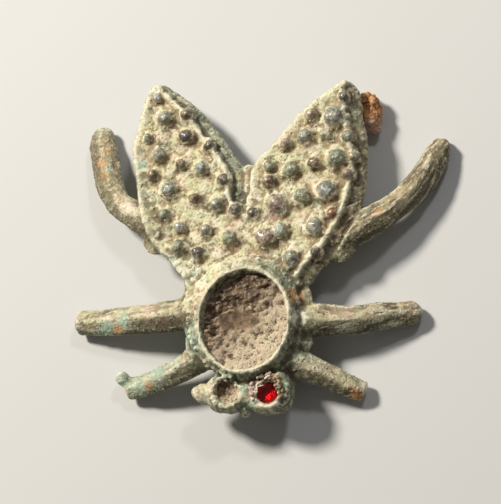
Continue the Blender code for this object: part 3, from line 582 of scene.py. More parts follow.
def distance(places, point=(0.0, 0.0), reach=(1.0, 1.0)):
    """How far from a point each place is seen from above, as a share of the reach along x and y."""
    return np.hypot((places[:, 0] - point[0]) / reach[0], (places[:, 1] - point[1]) / reach[1])


def slope(places, direction, point=(0.0, 0.0)):
    """How far each place lies from a point in a direction seen from above."""
    return direction[0] * (places[:, 0] - point[0]) + direction[1] * (places[:, 1] - point[1])


def fitted(obj, finish, slot, *nodes):
    """Brings a finished piece to its place in metres, dresses it and fixes it to the brooch."""
    obj.data.transform(Matrix.Scale(MM, 4) @ Matrix.Translation((DRAWN_X, DRAWN_Y, 0.0)))
    obj.data.update()
    obj.data.materials.clear()
    obj.data.materials.append(finish)
    obj.data.shade_smooth()
    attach(obj, "root")
    if nodes:
        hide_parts(*nodes)
    return obj


def smooth_loop(points, steps):
    """A closed loop through the points, rounded between them."""
    count = len(points)
    loop = []
    for index in range(count):
        before, start, end, after = (np.array(points[(index + shift) % count]) for shift in (-1, 0, 1, 2))
        for step in range(steps):
            share = step / steps
            loop.append(0.5 * (
                2 * start + (end - before) * share
                + (2 * before - 5 * start + 4 * end - after) * share ** 2
                + (3 * start - before - 3 * end + after) * share ** 3
            ))
    return loop


def edge_distance(places, loop):
    """How far inside an anticlockwise loop each place is, and how its nearest edge faces the wide side."""
    inside = np.full(len(places), OUTSIDE)
    facing = np.zeros(len(places))
    nearest = np.full(len(places), FAR)
    for start, end in zip(loop, loop[1:] + loop[:1]):
        run = end - start
        length = float(np.hypot(*run))
        along = run / length
        rel = places[:, :2] - start
        step = np.clip(rel @ along, 0.0, length)
        side = rel[:, 1] * along[0] - rel[:, 0] * along[1]
        away = np.hypot(rel[:, 0] - step * along[0], rel[:, 1] - step * along[1])
        closer = away < nearest
        nearest = np.where(closer, away, nearest)
        inside = np.where(closer, np.where(side > 0, away, -away), inside)
        facing = np.where(closer, along[1] * WIDE_SIDE.x - along[0] * WIDE_SIDE.y, facing)
    return inside, facing


def wing_depths(places):
    """Each place's distance inside the wings' outline, its share of the wide side, and the rim's inset."""
    inside = np.full(len(places), OUTSIDE)
    facing = np.zeros(len(places))
    for points in (LEFT_WING, RIGHT_WING):
        depth, toward = edge_distance(places, smooth_loop(points, OUTLINE_STEPS))
        facing = np.where(depth > inside, toward, facing)
        joint = SEAM_BLEND * fade(places[:, 1], *SEAM_FADE)
        inside = 0.5 * (depth + inside + np.sqrt((depth - inside) ** 2 + joint ** 2))
    wide = ramp(facing, -0.1, 0.75)
    return inside, wide, NARROW_INSET + (WIDE_INSET - NARROW_INSET) * wide


def body_radius(places):
    """Distance from the body's middle as a share of its outline's."""
    return distance(places, BODY_MIDDLE, BODY_HALVES)


def cell_ring(places):
    """Distance outside the crest of the cell's wall."""
    return (distance(places, reach=CELL_HALVES) - 1.0) * sum(CELL_HALVES) / 2


def steep_share(places):
    """Share of the cell's steeper, shaded side, from 0 to 1."""
    return 0.5 + 0.5 * np.cos(np.arctan2(places[:, 1], places[:, 0]) + WALL_STEEP_SIDE)


def shape_face(mesh):
    """Gives the wings their sloping flanks and set-in rims, and the cell its rounded wall."""
    places, normals = vertex_places(mesh)
    inside, wide, crest = wing_depths(places)
    offset = inside - crest
    rise = np.clip(inside / np.maximum(crest - 0.25, 0.1), 0.0, 1.0) ** 0.75
    flank = EDGE_LEVEL + (FLANK_TOP - EDGE_LEVEL) * rise
    field = ramp(offset, -0.3, 0.15)
    top = flank * (1.0 - field) + WING_FIELD * field
    right = ramp(places[:, 0], 4.0, 6.0)
    width = RIM_WIDTH * (1.5 - 0.5 * wide) * (1.0 + 0.5 * right)
    uneven = 0.85 + 0.3 * np.sin(4.7 * places[:, 1] + 1.9 * places[:, 0]) * np.sin(2.1 * places[:, 1])
    top += RIM_RISE * uneven * (0.5 + 0.5 * wide) * bell(offset, 0.0, width)
    depth = GROOVE_DEPTH * wide * (1.0 - 0.75 * right)
    top -= depth * bell(offset, -GROOVE_INSET, GROOVE_WIDTH)
    weight = ramp(normals[:, 2], 0.05, 0.3) * ramp(body_radius(places), 1.0, 1.12)
    weight *= ramp(inside, 0.02, 0.2) * ramp(places[:, 1], 2.0, 4.0)
    places[:, 2] += (top - places[:, 2]) * weight

    ring = cell_ring(places)
    above_floor = ramp(places[:, 2], 3.6, 4.2) * ramp(ring, -0.9, -0.5)
    push = WALL_PUSH * above_floor * fade(ring, -0.35, 1.0)
    places[:, :2] *= 1.0 + (push / np.maximum(distance(places), 1.0))[:, None]
    ring = cell_ring(places)
    shaded = steep_share(places)
    wall = WALL_TOP - (0.5 + shaded) * ramp(ring, 0.08 - 0.05 * shaded, 1.2 - 0.4 * shaded)
    on_wall = ramp(ring, -0.12, 0.0) * fade(ring, 1.0, 1.45 - 0.2 * shaded)
    on_wall *= ramp(normals[:, 2], 0.0, 0.3)
    places[:, 2] += (wall - places[:, 2]) * on_wall

    socket = distance(places, GLASS_EYE)
    sunk = ramp(socket, 1.0, 1.1) * fade(socket, 1.45, 1.75) * ramp(normals[:, 2], 0.2, 0.5)
    places[:, 2] -= SOCKET_SINK * sunk
    for index, stretch in TIP_STRETCH.items():
        walk, _, away = along_line(places, LEG_LINES[index])
        reach = line_length(LEG_LINES[index])
        share = ramp(walk, reach - TIP_LENGTH, reach) * fade(away, 1.8, 2.2)
        start, end = (np.array(point) for point in LEG_LINES[index][-2:])
        direction = (end - start) / np.hypot(*(end - start))
        places[:, :2] += share[:, None] * stretch * direction
    move_vertices(mesh, places)


def line_length(line):
    return sum(math.dist(start, end) for start, end in zip(line, line[1:]))


def along_line(places, line):
    """How far along a line each place is, how far to its side, and how far from it."""
    walk = np.zeros(len(places))
    side = np.zeros(len(places))
    nearest = np.full(len(places), FAR)
    walked = 0.0
    for start, end in zip(line, line[1:]):
        run = np.array(end) - np.array(start)
        length = float(np.hypot(*run))
        along = run / length
        rel = places[:, :2] - np.array(start)
        step = rel @ along
        aside = rel[:, 1] * along[0] - rel[:, 0] * along[1]
        away = np.hypot(aside, np.maximum(np.maximum(-step, step - length), 0.0))
        closer = away < nearest
        nearest = np.where(closer, away, nearest)
        walk = np.where(closer, walked + step, walk)
        side = np.where(closer, aside, side)
        walked += length
    return walk, side, nearest


def raised_blobs():
    """Puts a round, dented blob on every point, as large as the point's own sizes."""
    net, given, result = new_tree("raised_blobs", "GeometryNodeTree", {
        "Points": "Geometry", "Fineness": 4, "Flare": 0.5, "Tilt": (0.1, 0.1, 3.0), "Dent Size": 0.5,
        "Dent Depth": 0.34, "Seed": 3, "Finish": "Material",
    }, {"Blobs": "Geometry"})
    ball = net.out("GeometryNodeMeshIcoSphere", 1.0, given["Fineness"])
    spot = net.out("GeometryNodeInputPosition")
    height = net.add("ShaderNodeSeparateXYZ", spot).outputs["Z"]
    low = net.minus(1.0, net.math("ABSOLUTE", height))
    spread = net.times(net.times(low, low), given["Flare"])
    flat = net.vector("MULTIPLY", spot, (1.0, 1.0, 0.0))
    ball = net.out("GeometryNodeSetPosition", ball, None, None, net.vector("SCALE", flat, spread))
    size = net.field("size", "FLOAT_VECTOR")
    back = net.vector("SCALE", given["Tilt"], -1.0)
    turn = net.out(
        "FunctionNodeRandomValue", back, given["Tilt"], None, given["Seed"], data_type="FLOAT_VECTOR"
    )
    turn = net.vector("ADD", turn, net.field("turn", "FLOAT_VECTOR"))
    placed = net.out("GeometryNodeInstanceOnPoints", given["Points"], None, ball, None, None, turn, size)
    real = net.out("GeometryNodeRealizeInstances", placed)
    place = net.out("GeometryNodeInputPosition")
    dent = net.noise(place, given["Dent Size"], 2.0, 0.5, given["Seed"])
    depth = net.times(net.minus(dent, 0.5), given["Dent Depth"])
    offset = net.vector("SCALE", net.out("GeometryNodeInputNormal"), depth)
    moved = net.out("GeometryNodeSetPosition", real, None, None, offset)
    net.link(net.out("GeometryNodeSetMaterial", moved, None, given["Finish"]), result[0])
    return net.tree


def corrosion_relief():
    """Roughens a skin with lumps, crust, pits and streaks, and notes where it is raised or hollow."""
    net, given, result = new_tree("corrosion_relief", "GeometryNodeTree", {
        "Skin": "Geometry", "Lump Size": 1.2, "Lump Height": 0.3, "Crust Size": 0.5, "Crust Height": 0.25,
        "Pit Size": 0.4, "Pit Depth": 0.1, "Streak Width": 0.7, "Streak Stretch": 0.11, "Streak Depth": 0.5,
        "Seed": 1, "Finish": "Material",
    }, {"Skin": "Geometry"})
    place = net.out("GeometryNodeInputPosition")
    normal = net.out("GeometryNodeInputNormal")
    calm = net.field("calm")
    streaky = net.field("streaky")
    path = net.field("grain_path", "FLOAT_VECTOR")
    seed = given["Seed"]
    lump = net.minus(net.noise(place, given["Lump Size"], 2.0, 0.5, seed), 0.5)
    crust = net.minus(net.noise(place, given["Crust Size"], 3.0, 0.55, seed), 0.5)
    pit = net.span(net.noise(place, given["Pit Size"], 1.0, 0.5, seed), 0.56, 0.72)
    stretch = net.out("ShaderNodeCombineXYZ", given["Streak Stretch"], 1.0, 1.0)
    along = net.vector("MULTIPLY", path, stretch)
    streak = net.minus(net.noise(along, given["Streak Width"], 2.0, 0.5, seed), 0.5)
    rough = net.times(crust, given["Crust Height"])
    rough = net.minus(rough, net.times(pit, given["Pit Depth"]))
    rough = net.times(rough, net.minus(1.0, calm))
    lumps = net.times(lump, given["Lump Height"])
    lumps = net.times(lumps, net.span(streaky, 0.0, 1.5, 1.0, 0.3))
    streaks = net.times(streak, given["Streak Depth"])
    height = net.times_plus(streaks, streaky, net.plus(rough, lumps))
    offset = net.vector("SCALE", normal, height)
    skin = net.out("GeometryNodeSetPosition", given["Skin"], None, None, offset)
    for name, rounds, reach in (("raised", 3, 0.04), ("hollow", 22, -0.13)):
        around = net.out("GeometryNodeBlurAttribute", place, rounds, data_type="FLOAT_VECTOR")
        rise = net.vector("DOT_PRODUCT", normal, net.vector("SUBTRACT", place, around))
        skin = net.store(skin, name, net.math("DIVIDE", rise, reach))
    upward = net.add("ShaderNodeSeparateXYZ", normal).outputs["Z"]
    skin = net.store(skin, "upward", upward)
    real = net.out("GeometryNodeRealizeInstances", skin)
    net.link(net.out("GeometryNodeSetMaterial", real, None, given["Finish"]), result[0])
    return net.tree


def corrosion_grains():
    """Scatters small corrosion grains over a skin and drops the skin."""
    net, given, result = new_tree("corrosion_grains", "GeometryNodeTree", {
        "Skin": "Geometry", "Density": 2.0, "Smallest": 0.05, "Largest": 0.14, "Flatness": 0.6, "Seed": 5,
        "Finish": "Material",
    }, {"Grains": "Geometry"})
    density = net.times(net.field("crusty"), given["Density"])
    points = net.add("GeometryNodeDistributePointsOnFaces", given["Skin"], None, density, given["Seed"])
    grain = net.out("GeometryNodeMeshIcoSphere", 1.0, 1)
    size = net.out(
        "FunctionNodeRandomValue", given["Smallest"], given["Largest"], None, given["Seed"],
        data_type="FLOAT",
    )
    flat = net.out("ShaderNodeCombineXYZ", size, size, net.times(size, given["Flatness"]))
    placed = net.out(
        "GeometryNodeInstanceOnPoints", points.outputs["Points"], None, grain, None, None,
        points.outputs["Rotation"], flat,
    )
    real = net.out("GeometryNodeRealizeInstances", placed)
    net.link(net.out("GeometryNodeSetMaterial", real, None, given["Finish"]), result[0])
    return net.tree


def granular_crust():
    """Fine granular crust: an even grain, and the few darker pits in it."""
    net, given, result = new_tree("granular_crust", "ShaderNodeTree", {
        "Place": "Vector", "Size": 0.3, "Pit Share": 0.6,
    }, {"Grain": "Float", "Pits": "Float"})
    grain = net.noise(given["Place"], given["Size"], 3.0, 0.6)
    pits = net.noise(given["Place"], given["Size"], 2.0, 0.5, 7.0)
    high = net.plus(given["Pit Share"], 0.08)
    net.link(net.span(grain, 0.3, 0.7), result["Grain"])
    net.link(net.span(pits, given["Pit Share"], high), result["Pits"])
    return net.tree


def mottled_patina():
    """Two colours that break up into each other in patches."""
    net, given, result = new_tree("mottled_patina", "ShaderNodeTree", {
        "Place": "Vector", "Size": 1.5, "First": "Color", "Second": "Color", "Second Share": 0.5,
        "Seed": 0.0,
    }, {"Colour": "Color", "Share": "Float"})
    patches = net.noise(given["Place"], given["Size"], 5.0, 0.62, given["Seed"])
    middle = net.times_plus(given["Second Share"], -0.5, 0.75)
    low = net.minus(middle, 0.09)
    high = net.plus(middle, 0.09)
    share = net.span(patches, low, high)
    net.link(net.mix(share, given["First"], given["Second"]), result["Colour"])
    net.link(share, result["Share"])
    return net.tree


def wear_and_dirt():
    """Edge wear and painted highlight, settled dirt and painted shade: raised places turn to the worn colour
    and hollows to the dirt colour.
    """
    net, given, result = new_tree("wear_and_dirt", "ShaderNodeTree", {
        "Colour": "Color", "Worn": "Color", "Dirt": "Color", "Raised": 0.0, "Hollow": 0.0, "Grain": 0.5,
        "Wear": 0.5, "Dirtiness": 0.5,
    }, {"Colour": "Color"})
    uneven = net.times_plus(given["Grain"], 0.8, -0.4)
    # Raised places pale with wear and painted highlight; hollows darken with dirt and painted shade
    wear_and_highlight = net.span(net.plus(given["Raised"], uneven), 0.1, 1.0)
    wear_and_highlight = net.times(wear_and_highlight, given["Wear"])
    sunk = net.times_plus(given["Raised"], -0.7, given["Hollow"])
    hollow_darkening = net.span(net.minus(sunk, uneven), 0.1, 1.1)
    hollow_darkening = net.times(hollow_darkening, given["Dirtiness"])
    colour = net.mix(wear_and_highlight, given["Colour"], given["Worn"])
    net.link(net.mix(hollow_darkening, colour, given["Dirt"]), result["Colour"])
    return net.tree


def new_material(name):
    """A material, the wiring of its nodes, its main shader and the place on the piece in millimetres."""
    material = bpy.data.materials.new(name)
    material.use_nodes = True
    net = Wiring(material.node_tree)
    shader = material.node_tree.nodes["Principled BSDF"]
    object_place = net.add("ShaderNodeTexCoord").outputs["Object"]
    return material, net, shader, net.vector("SCALE", object_place, PER_MM)


def add_bump(net, shader, height, depth):
    """Fine relief below the mesh's own, its depth in millimetres."""
    bump = net.add("ShaderNodeBump")
    bump.inputs["Strength"].default_value = 1.0
    bump.inputs["Distance"].default_value = depth * MM
    net.link(height, bump.inputs["Height"])
    net.link(bump.outputs["Normal"], shader.inputs["Normal"])


def patinated_bronze(colours):
    """Buff crust over green-grey patina, stained, with painted shadows, shade and highlights, and darker
    metal on the pellets' crowns.
    """
    material, net, shader, place = new_material("patinated_bronze")
    raised = net.read("raised")
    hollow = net.read("hollow")
    upward = net.read("upward")
    streaky = net.read("streaky")
    crown = net.read("crown")
    fine = net.group(granular_crust, place, 0.22, 0.6)
    middle = net.group(granular_crust, place, 0.55, 0.6)
    path = net.vector("MULTIPLY", net.read("grain_path", "Vector"), (0.22, 1.0, 1.0))
    streaks = net.span(net.noise(path, 0.55, 3.0, 0.6, 2.0), 0.46, 0.62)
    patchy = net.noise(place, 0.5, 4.0, 0.65, 12.0)

    crust = net.group(mottled_patina, place, 1.7, colours.crust, colours.pale, 0.5, 1.0)[0]
    buff = net.group(mottled_patina, place, 2.6, colours.crust, colours.buff, 0.5, 4.0)[1]
    crust = net.mix(net.times(buff, 0.6), crust, colours.buff)
    lichen = net.group(mottled_patina, place, 1.3, colours.crust, colours.lichen, 0.5, 9.0)[1]
    crust = net.mix(net.times(lichen, 0.7), crust, colours.lichen)
    crust = net.mix(net.span(fine["Grain"], 0.0, 0.5, 0.4, 0.0), crust, colours.umber)
    limb = net.read("limb")
    clouds = net.noise(place, 1.0, 4.0, 0.65, 15.0)
    clouded = net.times(limb, net.span(clouds, 0.36, 0.64, 0.1, 0.75))
    crust = net.mix(clouded, crust, colours.umber)
    patina = net.group(mottled_patina, place, 0.7, colours.patina, colours.olive, 0.38, 2.0)[0]
    flank = net.span(upward, 0.3, 0.88, 0.34, 0.0)
    bare = net.plus(net.noise(place, 1.4, 4.0, 0.6, 3.0), flank)
    bare = net.times_plus(net.read("flank"), 0.34, bare)
    bare = net.times_plus(limb, 0.05, bare)
    bare = net.times_plus(hollow, 0.07, bare)
    bare = net.times_plus(raised, -0.04, bare)
    bare = net.span(bare, 0.54, 0.78)
    colour = net.mix(bare, crust, patina)
    streaks = net.times(streaks, streaky)
    for share, tone in (
        (net.times(streaks, 0.7), colours.dirt),
        # Painted shadows beside the pellets, and the brown ring round the glass
        (net.times(net.read("collar"), net.span(middle["Grain"], 0.1, 0.8, 0.3, 0.85)), colours.collar),
        # Umber, which on the wall below the glass is painted shade
        (net.times(net.read("umber"), net.span(middle["Grain"], 0.0, 1.0, 0.35, 0.9)), colours.umber),
        # Painted shade on the legs' lower sides
        (
            net.times(net.read("below"), net.span(patchy, 0.36, 0.58, 0.6, 1.0)),
            net.mix(middle["Grain"], colours.dirt, colours.olive),
        ),
    ):
        colour = net.mix(share, colour, tone)
    for stain, tone in STAIN_TONES.items():
        broken = net.times_plus(patchy, 2.6, net.read(stain))
        colour = net.mix(net.span(broken, 1.55, 2.5, 0.0, 0.8), colour, getattr(colours, tone))
    # Painted highlight: pale crust along the rims and on the lip below the glass
    edge = net.times(net.read("edge"), net.span(patchy, 0.35, 0.55, 0.3, 0.9))
    colour = net.mix(edge, colour, colours.pale)
    speckled = net.times(middle["Pits"], net.times_plus(bare, 0.5, 0.08))
    colour = net.mix(speckled, colour, colours.olive)
    # Colour of the dirt and painted shade in hollows, browner on the crust and darker where it is bare
    dirt = net.mix(bare, colours.collar, colours.dirt)
    # Raised places in the painted shade of the legs' lower sides get less wear and painted highlight
    raised = net.times(raised, net.span(net.read("below"), 0.0, 1.0, 1.0, 0.5))
    colour = net.group(
        wear_and_dirt, colour, colours.pale, dirt, raised, hollow, fine["Grain"], 0.6, 0.8
    )[0]
    broken = net.noise(place, 0.35, 3.0, 0.6, 6.0)
    metal = net.times_plus(broken, 1.8, net.times(crown, 0.8))
    metal = net.span(metal, 1.2, 1.6)
    tint = net.mix(net.span(patchy, 0.36, 0.54, 0.7, 0.0), net.read("tint", "Color"), colours.dirt)
    tint = net.mix(net.span(patchy, 0.5, 0.66, 0.0, 0.65), tint, colours.crust)
    colour = net.mix(metal, colour, tint)
    net.link(colour, shader.inputs["Base Color"])
    net.link(net.span(metal, 0.0, 1.0, 0.0, 0.3), shader.inputs["Metallic"])
    rough = net.times_plus(fine["Grain"], 0.22, net.span(metal, 0.0, 1.0, 0.62, 0.42))
    net.link(rough, shader.inputs["Roughness"])
    net.link(net.span(metal, 0.2, 1.0, 0.0, 0.75), shader.inputs["Coat Weight"])
    shader.inputs["Coat Roughness"].default_value = 0.2
    height = net.times_plus(fine["Pits"], -0.6, fine["Grain"])
    height = net.times_plus(streaks, -1.0, height)
    height = net.times_plus(net.times(metal, broken), 3.0, height)
    add_bump(net, shader, height, 0.042)
    return material


def decayed_paste(name, colours, pale, size):
    """Rough brown remains of what once filled a cell, paler where they are lit."""
    material, net, shader, place = new_material(name)
    grains = net.group(granular_crust, place, 0.16, 0.58)
    colour = net.group(mottled_patina, place, size, colours.paste, colours.dirt, 0.5, 2.0)[0]
    lit = net.read("lit")
    # Painted light: the bedding turns pale towards its lit side
    painted_light_share = net.times(lit, net.span(grains["Grain"], 0.0, 1.0, 0.55, 1.0))
    colour = net.mix(painted_light_share, colour, pale)
    colour = net.mix(net.times(grains["Pits"], 0.35), colour, colours.dirt)
    # A yellow-green tinge in patches, on the lit side only
    tinge = net.group(mottled_patina, place, 0.8, pale, colours.lichen, 0.3, 5.0)[1]
    tinged = net.times(tinge, net.times(lit, 0.5))
    colour = net.mix(tinged, colour, colours.lichen)
    colour = net.group(
        wear_and_dirt, colour, pale, colours.dirt, net.read("raised"), net.read("hollow"), grains["Grain"],
        0.4, 0.9,
    )[0]
    net.link(colour, shader.inputs["Base Color"])
    shader.inputs["Roughness"].default_value = 0.85
    add_bump(net, shader, net.times_plus(grains["Pits"], -0.7, grains["Grain"]), 0.035)
    return material


def red_glass(colour, roughness):
    """Clear deep red glass, its slight waviness in the bump alone."""
    material, net, shader, place = new_material("red_glass")
    shader.inputs["Base Color"].default_value = colour
    shader.inputs["Roughness"].default_value = roughness
    shader.inputs["Transmission Weight"].default_value = 0.95
    shader.inputs["IOR"].default_value = 1.5
    add_bump(net, shader, net.noise(place, 0.6, 2.0, 0.5, 3.0), 0.02)
    return material


def rust_crust(colours):
    """Granular orange-brown rust with dark hollows and pale dust."""
    material, net, shader, place = new_material("rust_crust")
    grains = net.group(granular_crust, place, 0.17, 0.6)
    colour = net.group(mottled_patina, place, 0.7, colours.rust, colours.deep_rust, 0.5, 1.0)[0]
    colour = net.mix(net.times(net.read("dusty"), 0.75), colour, colours.rosy)
    colour = net.mix(net.times(grains["Pits"], 0.5), colour, colours.deep_rust)
    colour = net.group(
        wear_and_dirt, colour, colours.rust_dust, colours.deep_rust, net.read("raised"),
        net.read("hollow"), grains["Grain"], 0.6, 0.7,
    )[0]
    net.link(colour, shader.inputs["Base Color"])
    shader.inputs["Roughness"].default_value = 0.9
    add_bump(net, shader, grains["Grain"], 0.06)
    return material


def blob_shells(name, finish, settings, spots, sizes, turns=None):
    """Round, dented shells at the spots, as plain mesh."""
    points = bpy.data.meshes.new(name)
    points.from_pydata(spots, [], [])
    mark(points, "size", sizes, "FLOAT_VECTOR")
    if turns:
        mark(points, "turn", turns, "FLOAT_VECTOR")
    return run_tree(linked_object(name, points), raised_blobs, {**settings, "Finish": finish})


def mark_pellets(mesh, places):
    """Marks the pellets' crowns and tints, and gives the crowns and the painted shadows beside them, shifted
    to their lower right.
    """
    crown = np.zeros(len(places))
    collar = np.zeros(len(places))
    nearest = np.full(len(places), 9.0)
    tint = np.zeros((len(places), 4))
    tint[:, 3] = 1.0
    above = ramp(places[:, 2], WING_FIELD - 0.1, WING_FIELD + 0.25)
    for x, y, radius, name in PELLETS:
        away = distance(places, (x, y)) / radius
        crown = np.maximum(crown, fade(away, *CROWN_FADE) * above)
        tint[away < nearest, :3] = TINTS[name]
        nearest = np.minimum(nearest, away)
        # Painted shadow: a brown patch beside the pellet, shifted to its lower right
        shift = SHADOW_SHIFT * radius
        aside = distance(places, (x + shift, y - shift)) / radius
        collar = np.maximum(collar, fade(aside, *SHADOW_FADE))
    collar *= ramp(places[:, 2], WING_FIELD - 0.6, WING_FIELD - 0.2)
    mark(mesh, "crown", crown)
    mark(mesh, "tint", tint, "FLOAT_COLOR")
    return crown, collar


def mark_legs(mesh, places):
    """Marks the legs with their share of streaky grain, with places measured along their rods, and with the
    painted shade on their lower sides.
    """
    streaky = np.zeros(len(places))
    path = places.copy()
    below = np.zeros(len(places))
    nearest = np.full(len(places), LEG_GRAIN_REACH)
    for line, strength, lower, paler in zip(LEG_LINES, LEG_GRAIN, LEG_BELOW, LEG_TIP_PALER):
        walk, aside, away = along_line(places, line)
        closer = away < nearest
        nearest = np.where(closer, away, nearest)
        path[closer, 0] = walk[closer]
        path[closer, 1] = aside[closer]
        amount = strength * ramp(walk, LEG_GRAIN_FROM, LEG_GRAIN_FROM + LEG_GRAIN_FADE)
        streaky = np.where(closer, amount, streaky)
        # Painted shade on the leg's lower side, lessened towards a paler tip
        side = ramp(aside * np.sign(lower), -0.1, 0.55) * ramp(walk, 1.0, 2.5)
        side *= 1.0 - paler * ramp(walk, 7.5, 9.5)
        below = np.where(closer, abs(lower) * side, below)
    mark(mesh, "streaky", streaky)
    mark(mesh, "below", below)
    mark(mesh, "grain_path", path, "FLOAT_VECTOR")
    return streaky


def flaked_share(places):
    """Share of the flaked crust at the glass eye's upper left."""
    away = distance(places, GLASS_EYE)
    flaked = ramp(slope(places, FLAKE_SIDE, GLASS_EYE), 0.3, 0.7)
    return flaked * ramp(away, 1.0, 1.1) * fade(away, 1.9, 2.3)


def level_at(places, x, y):
    """Height of the casting's face at a place."""
    return float(places[distance(places, (x, y)) < LEVEL_REACH, 2].max())


def between(limits, share):
    """A value in a range, by the part of a number behind its point."""
    return limits[0] + (limits[1] - limits[0]) * (share % 1.0)


def crust_lumps(places):
    """Places and sizes of the lumps of crust on the eyes, the wing's edge and the cell's rim."""
    spots = [(x, y, EYE_CRUST_LEVEL) for x, y, _ in EYE_CRUST]
    sizes = [(reach, reach, EYE_CRUST_HEIGHT * reach) for _, _, reach in EYE_CRUST]
    lumps = list(EDGE_CRUST)
    for index in range(RIM_LUMPS):
        turn, outward, growth = (step * index for step in RIM_LUMP_STEPS)
        angle = math.radians(between(RIM_LUMP_ANGLES, turn))
        offset = WALL_PUSH + between(RIM_LUMP_OFFSETS, outward)
        x = (CELL_HALVES[0] + offset) * math.cos(angle)
        y = (CELL_HALVES[1] + offset) * math.sin(angle)
        lumps.append((x, y, between(RIM_LUMP_REACHES, growth)))
    for x, y, reach in lumps:
        spots.append((x, y, level_at(places, x, y) - LUMP_SINK * reach))
        sizes.append((reach, reach, LUMP_HEIGHT * reach))
    return spots, sizes


def gem_flakes(places):
    """Places, sizes and turns of the flakes of crust that lie on the casting round the glass."""
    spots = []
    sizes = []
    turns = []
    for across, along, degrees, length, width, _ in FLAKES:
        x = GLASS_EYE[0] + across
        y = GLASS_EYE[1] + along
        level = level_at(places, x, y) - FLAKE_SINK
        on_glass = math.hypot(across, along) < GLASS_REACH
        spots.append((x, y, max(level, GLASS_EDGE_LEVEL) if on_glass else level))
        sizes.append((length, FLAKE_SPREAD * width, FLAKE_DEPTH))
        turns.append((0.0, 0.0, math.radians(degrees)))
    return spots, sizes, turns


def lip_share(places):
    """Share of the raised lip below the glass, painted pale as a highlight, with each place's distance and
    direction from the glass.
    """
    away = distance(places, GLASS_EYE)
    toward = slope(places, LIP_SIDE, GLASS_EYE) / np.maximum(away, 0.1)
    return bell(away, LIP_RADIUS, LIP_WIDTH) * ramp(toward, 0.45, 0.8), away, toward


def mark_stains(mesh, places):
    """Marks the stains, a painted highlight among the white ones, and the rosy brown of the flaked crust
    with them.
    """
    flaked = {"rosy": 0.5 * flaked_share(places), "brown": 1.5 * flaked_share(places)}
    for name, spots in STAINS.items():
        share = np.zeros(len(places))
        for x, y, reach, strength in spots:
            away = distance(places, (x, y))
            share = np.maximum(share, strength * fade(away, 0.1 * reach, 1.7 * reach))
        mark(mesh, name, np.maximum(share, flaked.get(name, 0.0)))


def mark_umber(mesh, places, flank, socket, below_glass):
    """Marks where the crust is olive brown: the right wing's flank, the forelegs and a spot beside the
    glass, and the wall below the glass as painted shade.
    """
    umber = flank * ramp(places[:, 0], 3.0, 6.0)
    for line, umber_from in zip(LEG_LINES, FORELEG_UMBER_FROM):
        walk, _, away = along_line(places, line)
        on_leg = ramp(walk, umber_from, umber_from + FORELEG_UMBER_FADE) * fade(away, *ROD_FADE)
        umber = np.maximum(umber, FORELEG_UMBER * on_leg)
    round_glass = ramp(socket, 1.58, 1.85) * fade(socket, 2.5, 3.0)
    # Painted shade on the wall below the glass
    umber = np.maximum(umber, GLASS_UMBER * round_glass * ramp(below_glass, 0.1, 0.5))
    umber = np.maximum(umber, GLASS_UMBER * fade(distance(places, UMBER_SPOT), 0.45, 0.95))
    mark(mesh, "umber", umber)


def mark_casting(mesh):
    """Raises the lip below the glass, marks the casting for its finish, and gives the pellets' crowns."""
    places, normals = vertex_places(mesh)
    lip, socket, below_glass = lip_share(places)
    places[:, 2] += LIP_RISE * lip * ramp(normals[:, 2], 0.2, 0.6)
    move_vertices(mesh, places)
    crown, collar = mark_pellets(mesh, places)
    streaky = mark_legs(mesh, places)
    mark_stains(mesh, places)
    inside, wide, crest = wing_depths(places)
    ring = cell_ring(places)
    shaded = steep_share(places)
    flank = wide * ramp(crest - inside, 0.1, 0.4) * ramp(inside, -1.2, -0.3)
    flank *= ramp(body_radius(places), 1.0, 1.15)
    flank *= ramp(distance(places, WINGS_MEET, WINGS_MEET_REACH), 0.5, 1.2)
    below_rim = shaded * ramp(ring, 0.2, 0.6) * fade(ring, 1.4, 2.2)
    # Painted highlight along the cell's rim, stronger on its shaded side, and on the raised lip below the
    # glass
    rim = np.maximum(bell(ring, 0.02, 0.13) * (0.3 + 0.7 * shaded), 1.1 * lip)
    off_body = ramp(body_radius(places), 1.0, 1.2)
    # Painted highlight along the crests of the wings' rims
    wing_rim = (0.2 + 0.6 * wide) * bell(inside - crest, 0.0, 0.26) * off_body
    for name, values in {
        # Painted shadows beside the pellets, and the brown ring round the glass
        "collar": np.maximum(collar, bell(socket, GLASS_COLLAR, GLASS_COLLAR_WIDTH)),
        "limb": ramp(crest - inside, -0.2, 0.4) * (1.0 - flank),
        "flank": np.maximum(flank, below_rim),
        "edge": np.maximum(rim, wing_rim),
        "calm": np.maximum(0.2 * crown, 0.4 * streaky),
    }.items():
        mark(mesh, name, values)
    mark_umber(mesh, places, flank, socket, below_glass)
    return crown


def bowl_mesh(name, centre, halves, level, rises, rings, sides):
    """A closed dish that climbs its wall by the first rise at the upper left and by the last opposite."""
    shape = bmesh.new()
    middle = shape.verts.new((*centre, level))
    rows = []
    for ring in range(1, rings + 1):
        share = ring / rings
        row = []
        for side in range(sides):
            angle = 2 * math.pi * side / sides
            lower_right = 0.5 + 0.5 * math.cos(angle + WALL_STEEP_SIDE)
            rise = rises[0] + (rises[1] - rises[0]) * lower_right
            x = centre[0] + halves[0] * share * math.cos(angle)
            y = centre[1] + halves[1] * share * math.sin(angle)
            row.append(shape.verts.new((x, y, level + rise * share ** BED_CURVE)))
        rows.append(row)
    rows.append([shape.verts.new((vert.co.x, vert.co.y, level - BED_THICKNESS)) for vert in rows[-1]])
    for side in range(sides):
        shape.faces.new((middle, rows[0][side - 1], rows[0][side]))
    for inner, outer in zip(rows, rows[1:]):
        for side in range(sides):
            shape.faces.new((inner[side - 1], outer[side - 1], outer[side], inner[side]))
    shape.faces.new(reversed(rows[-1]))
    return mesh_object(name, shape)


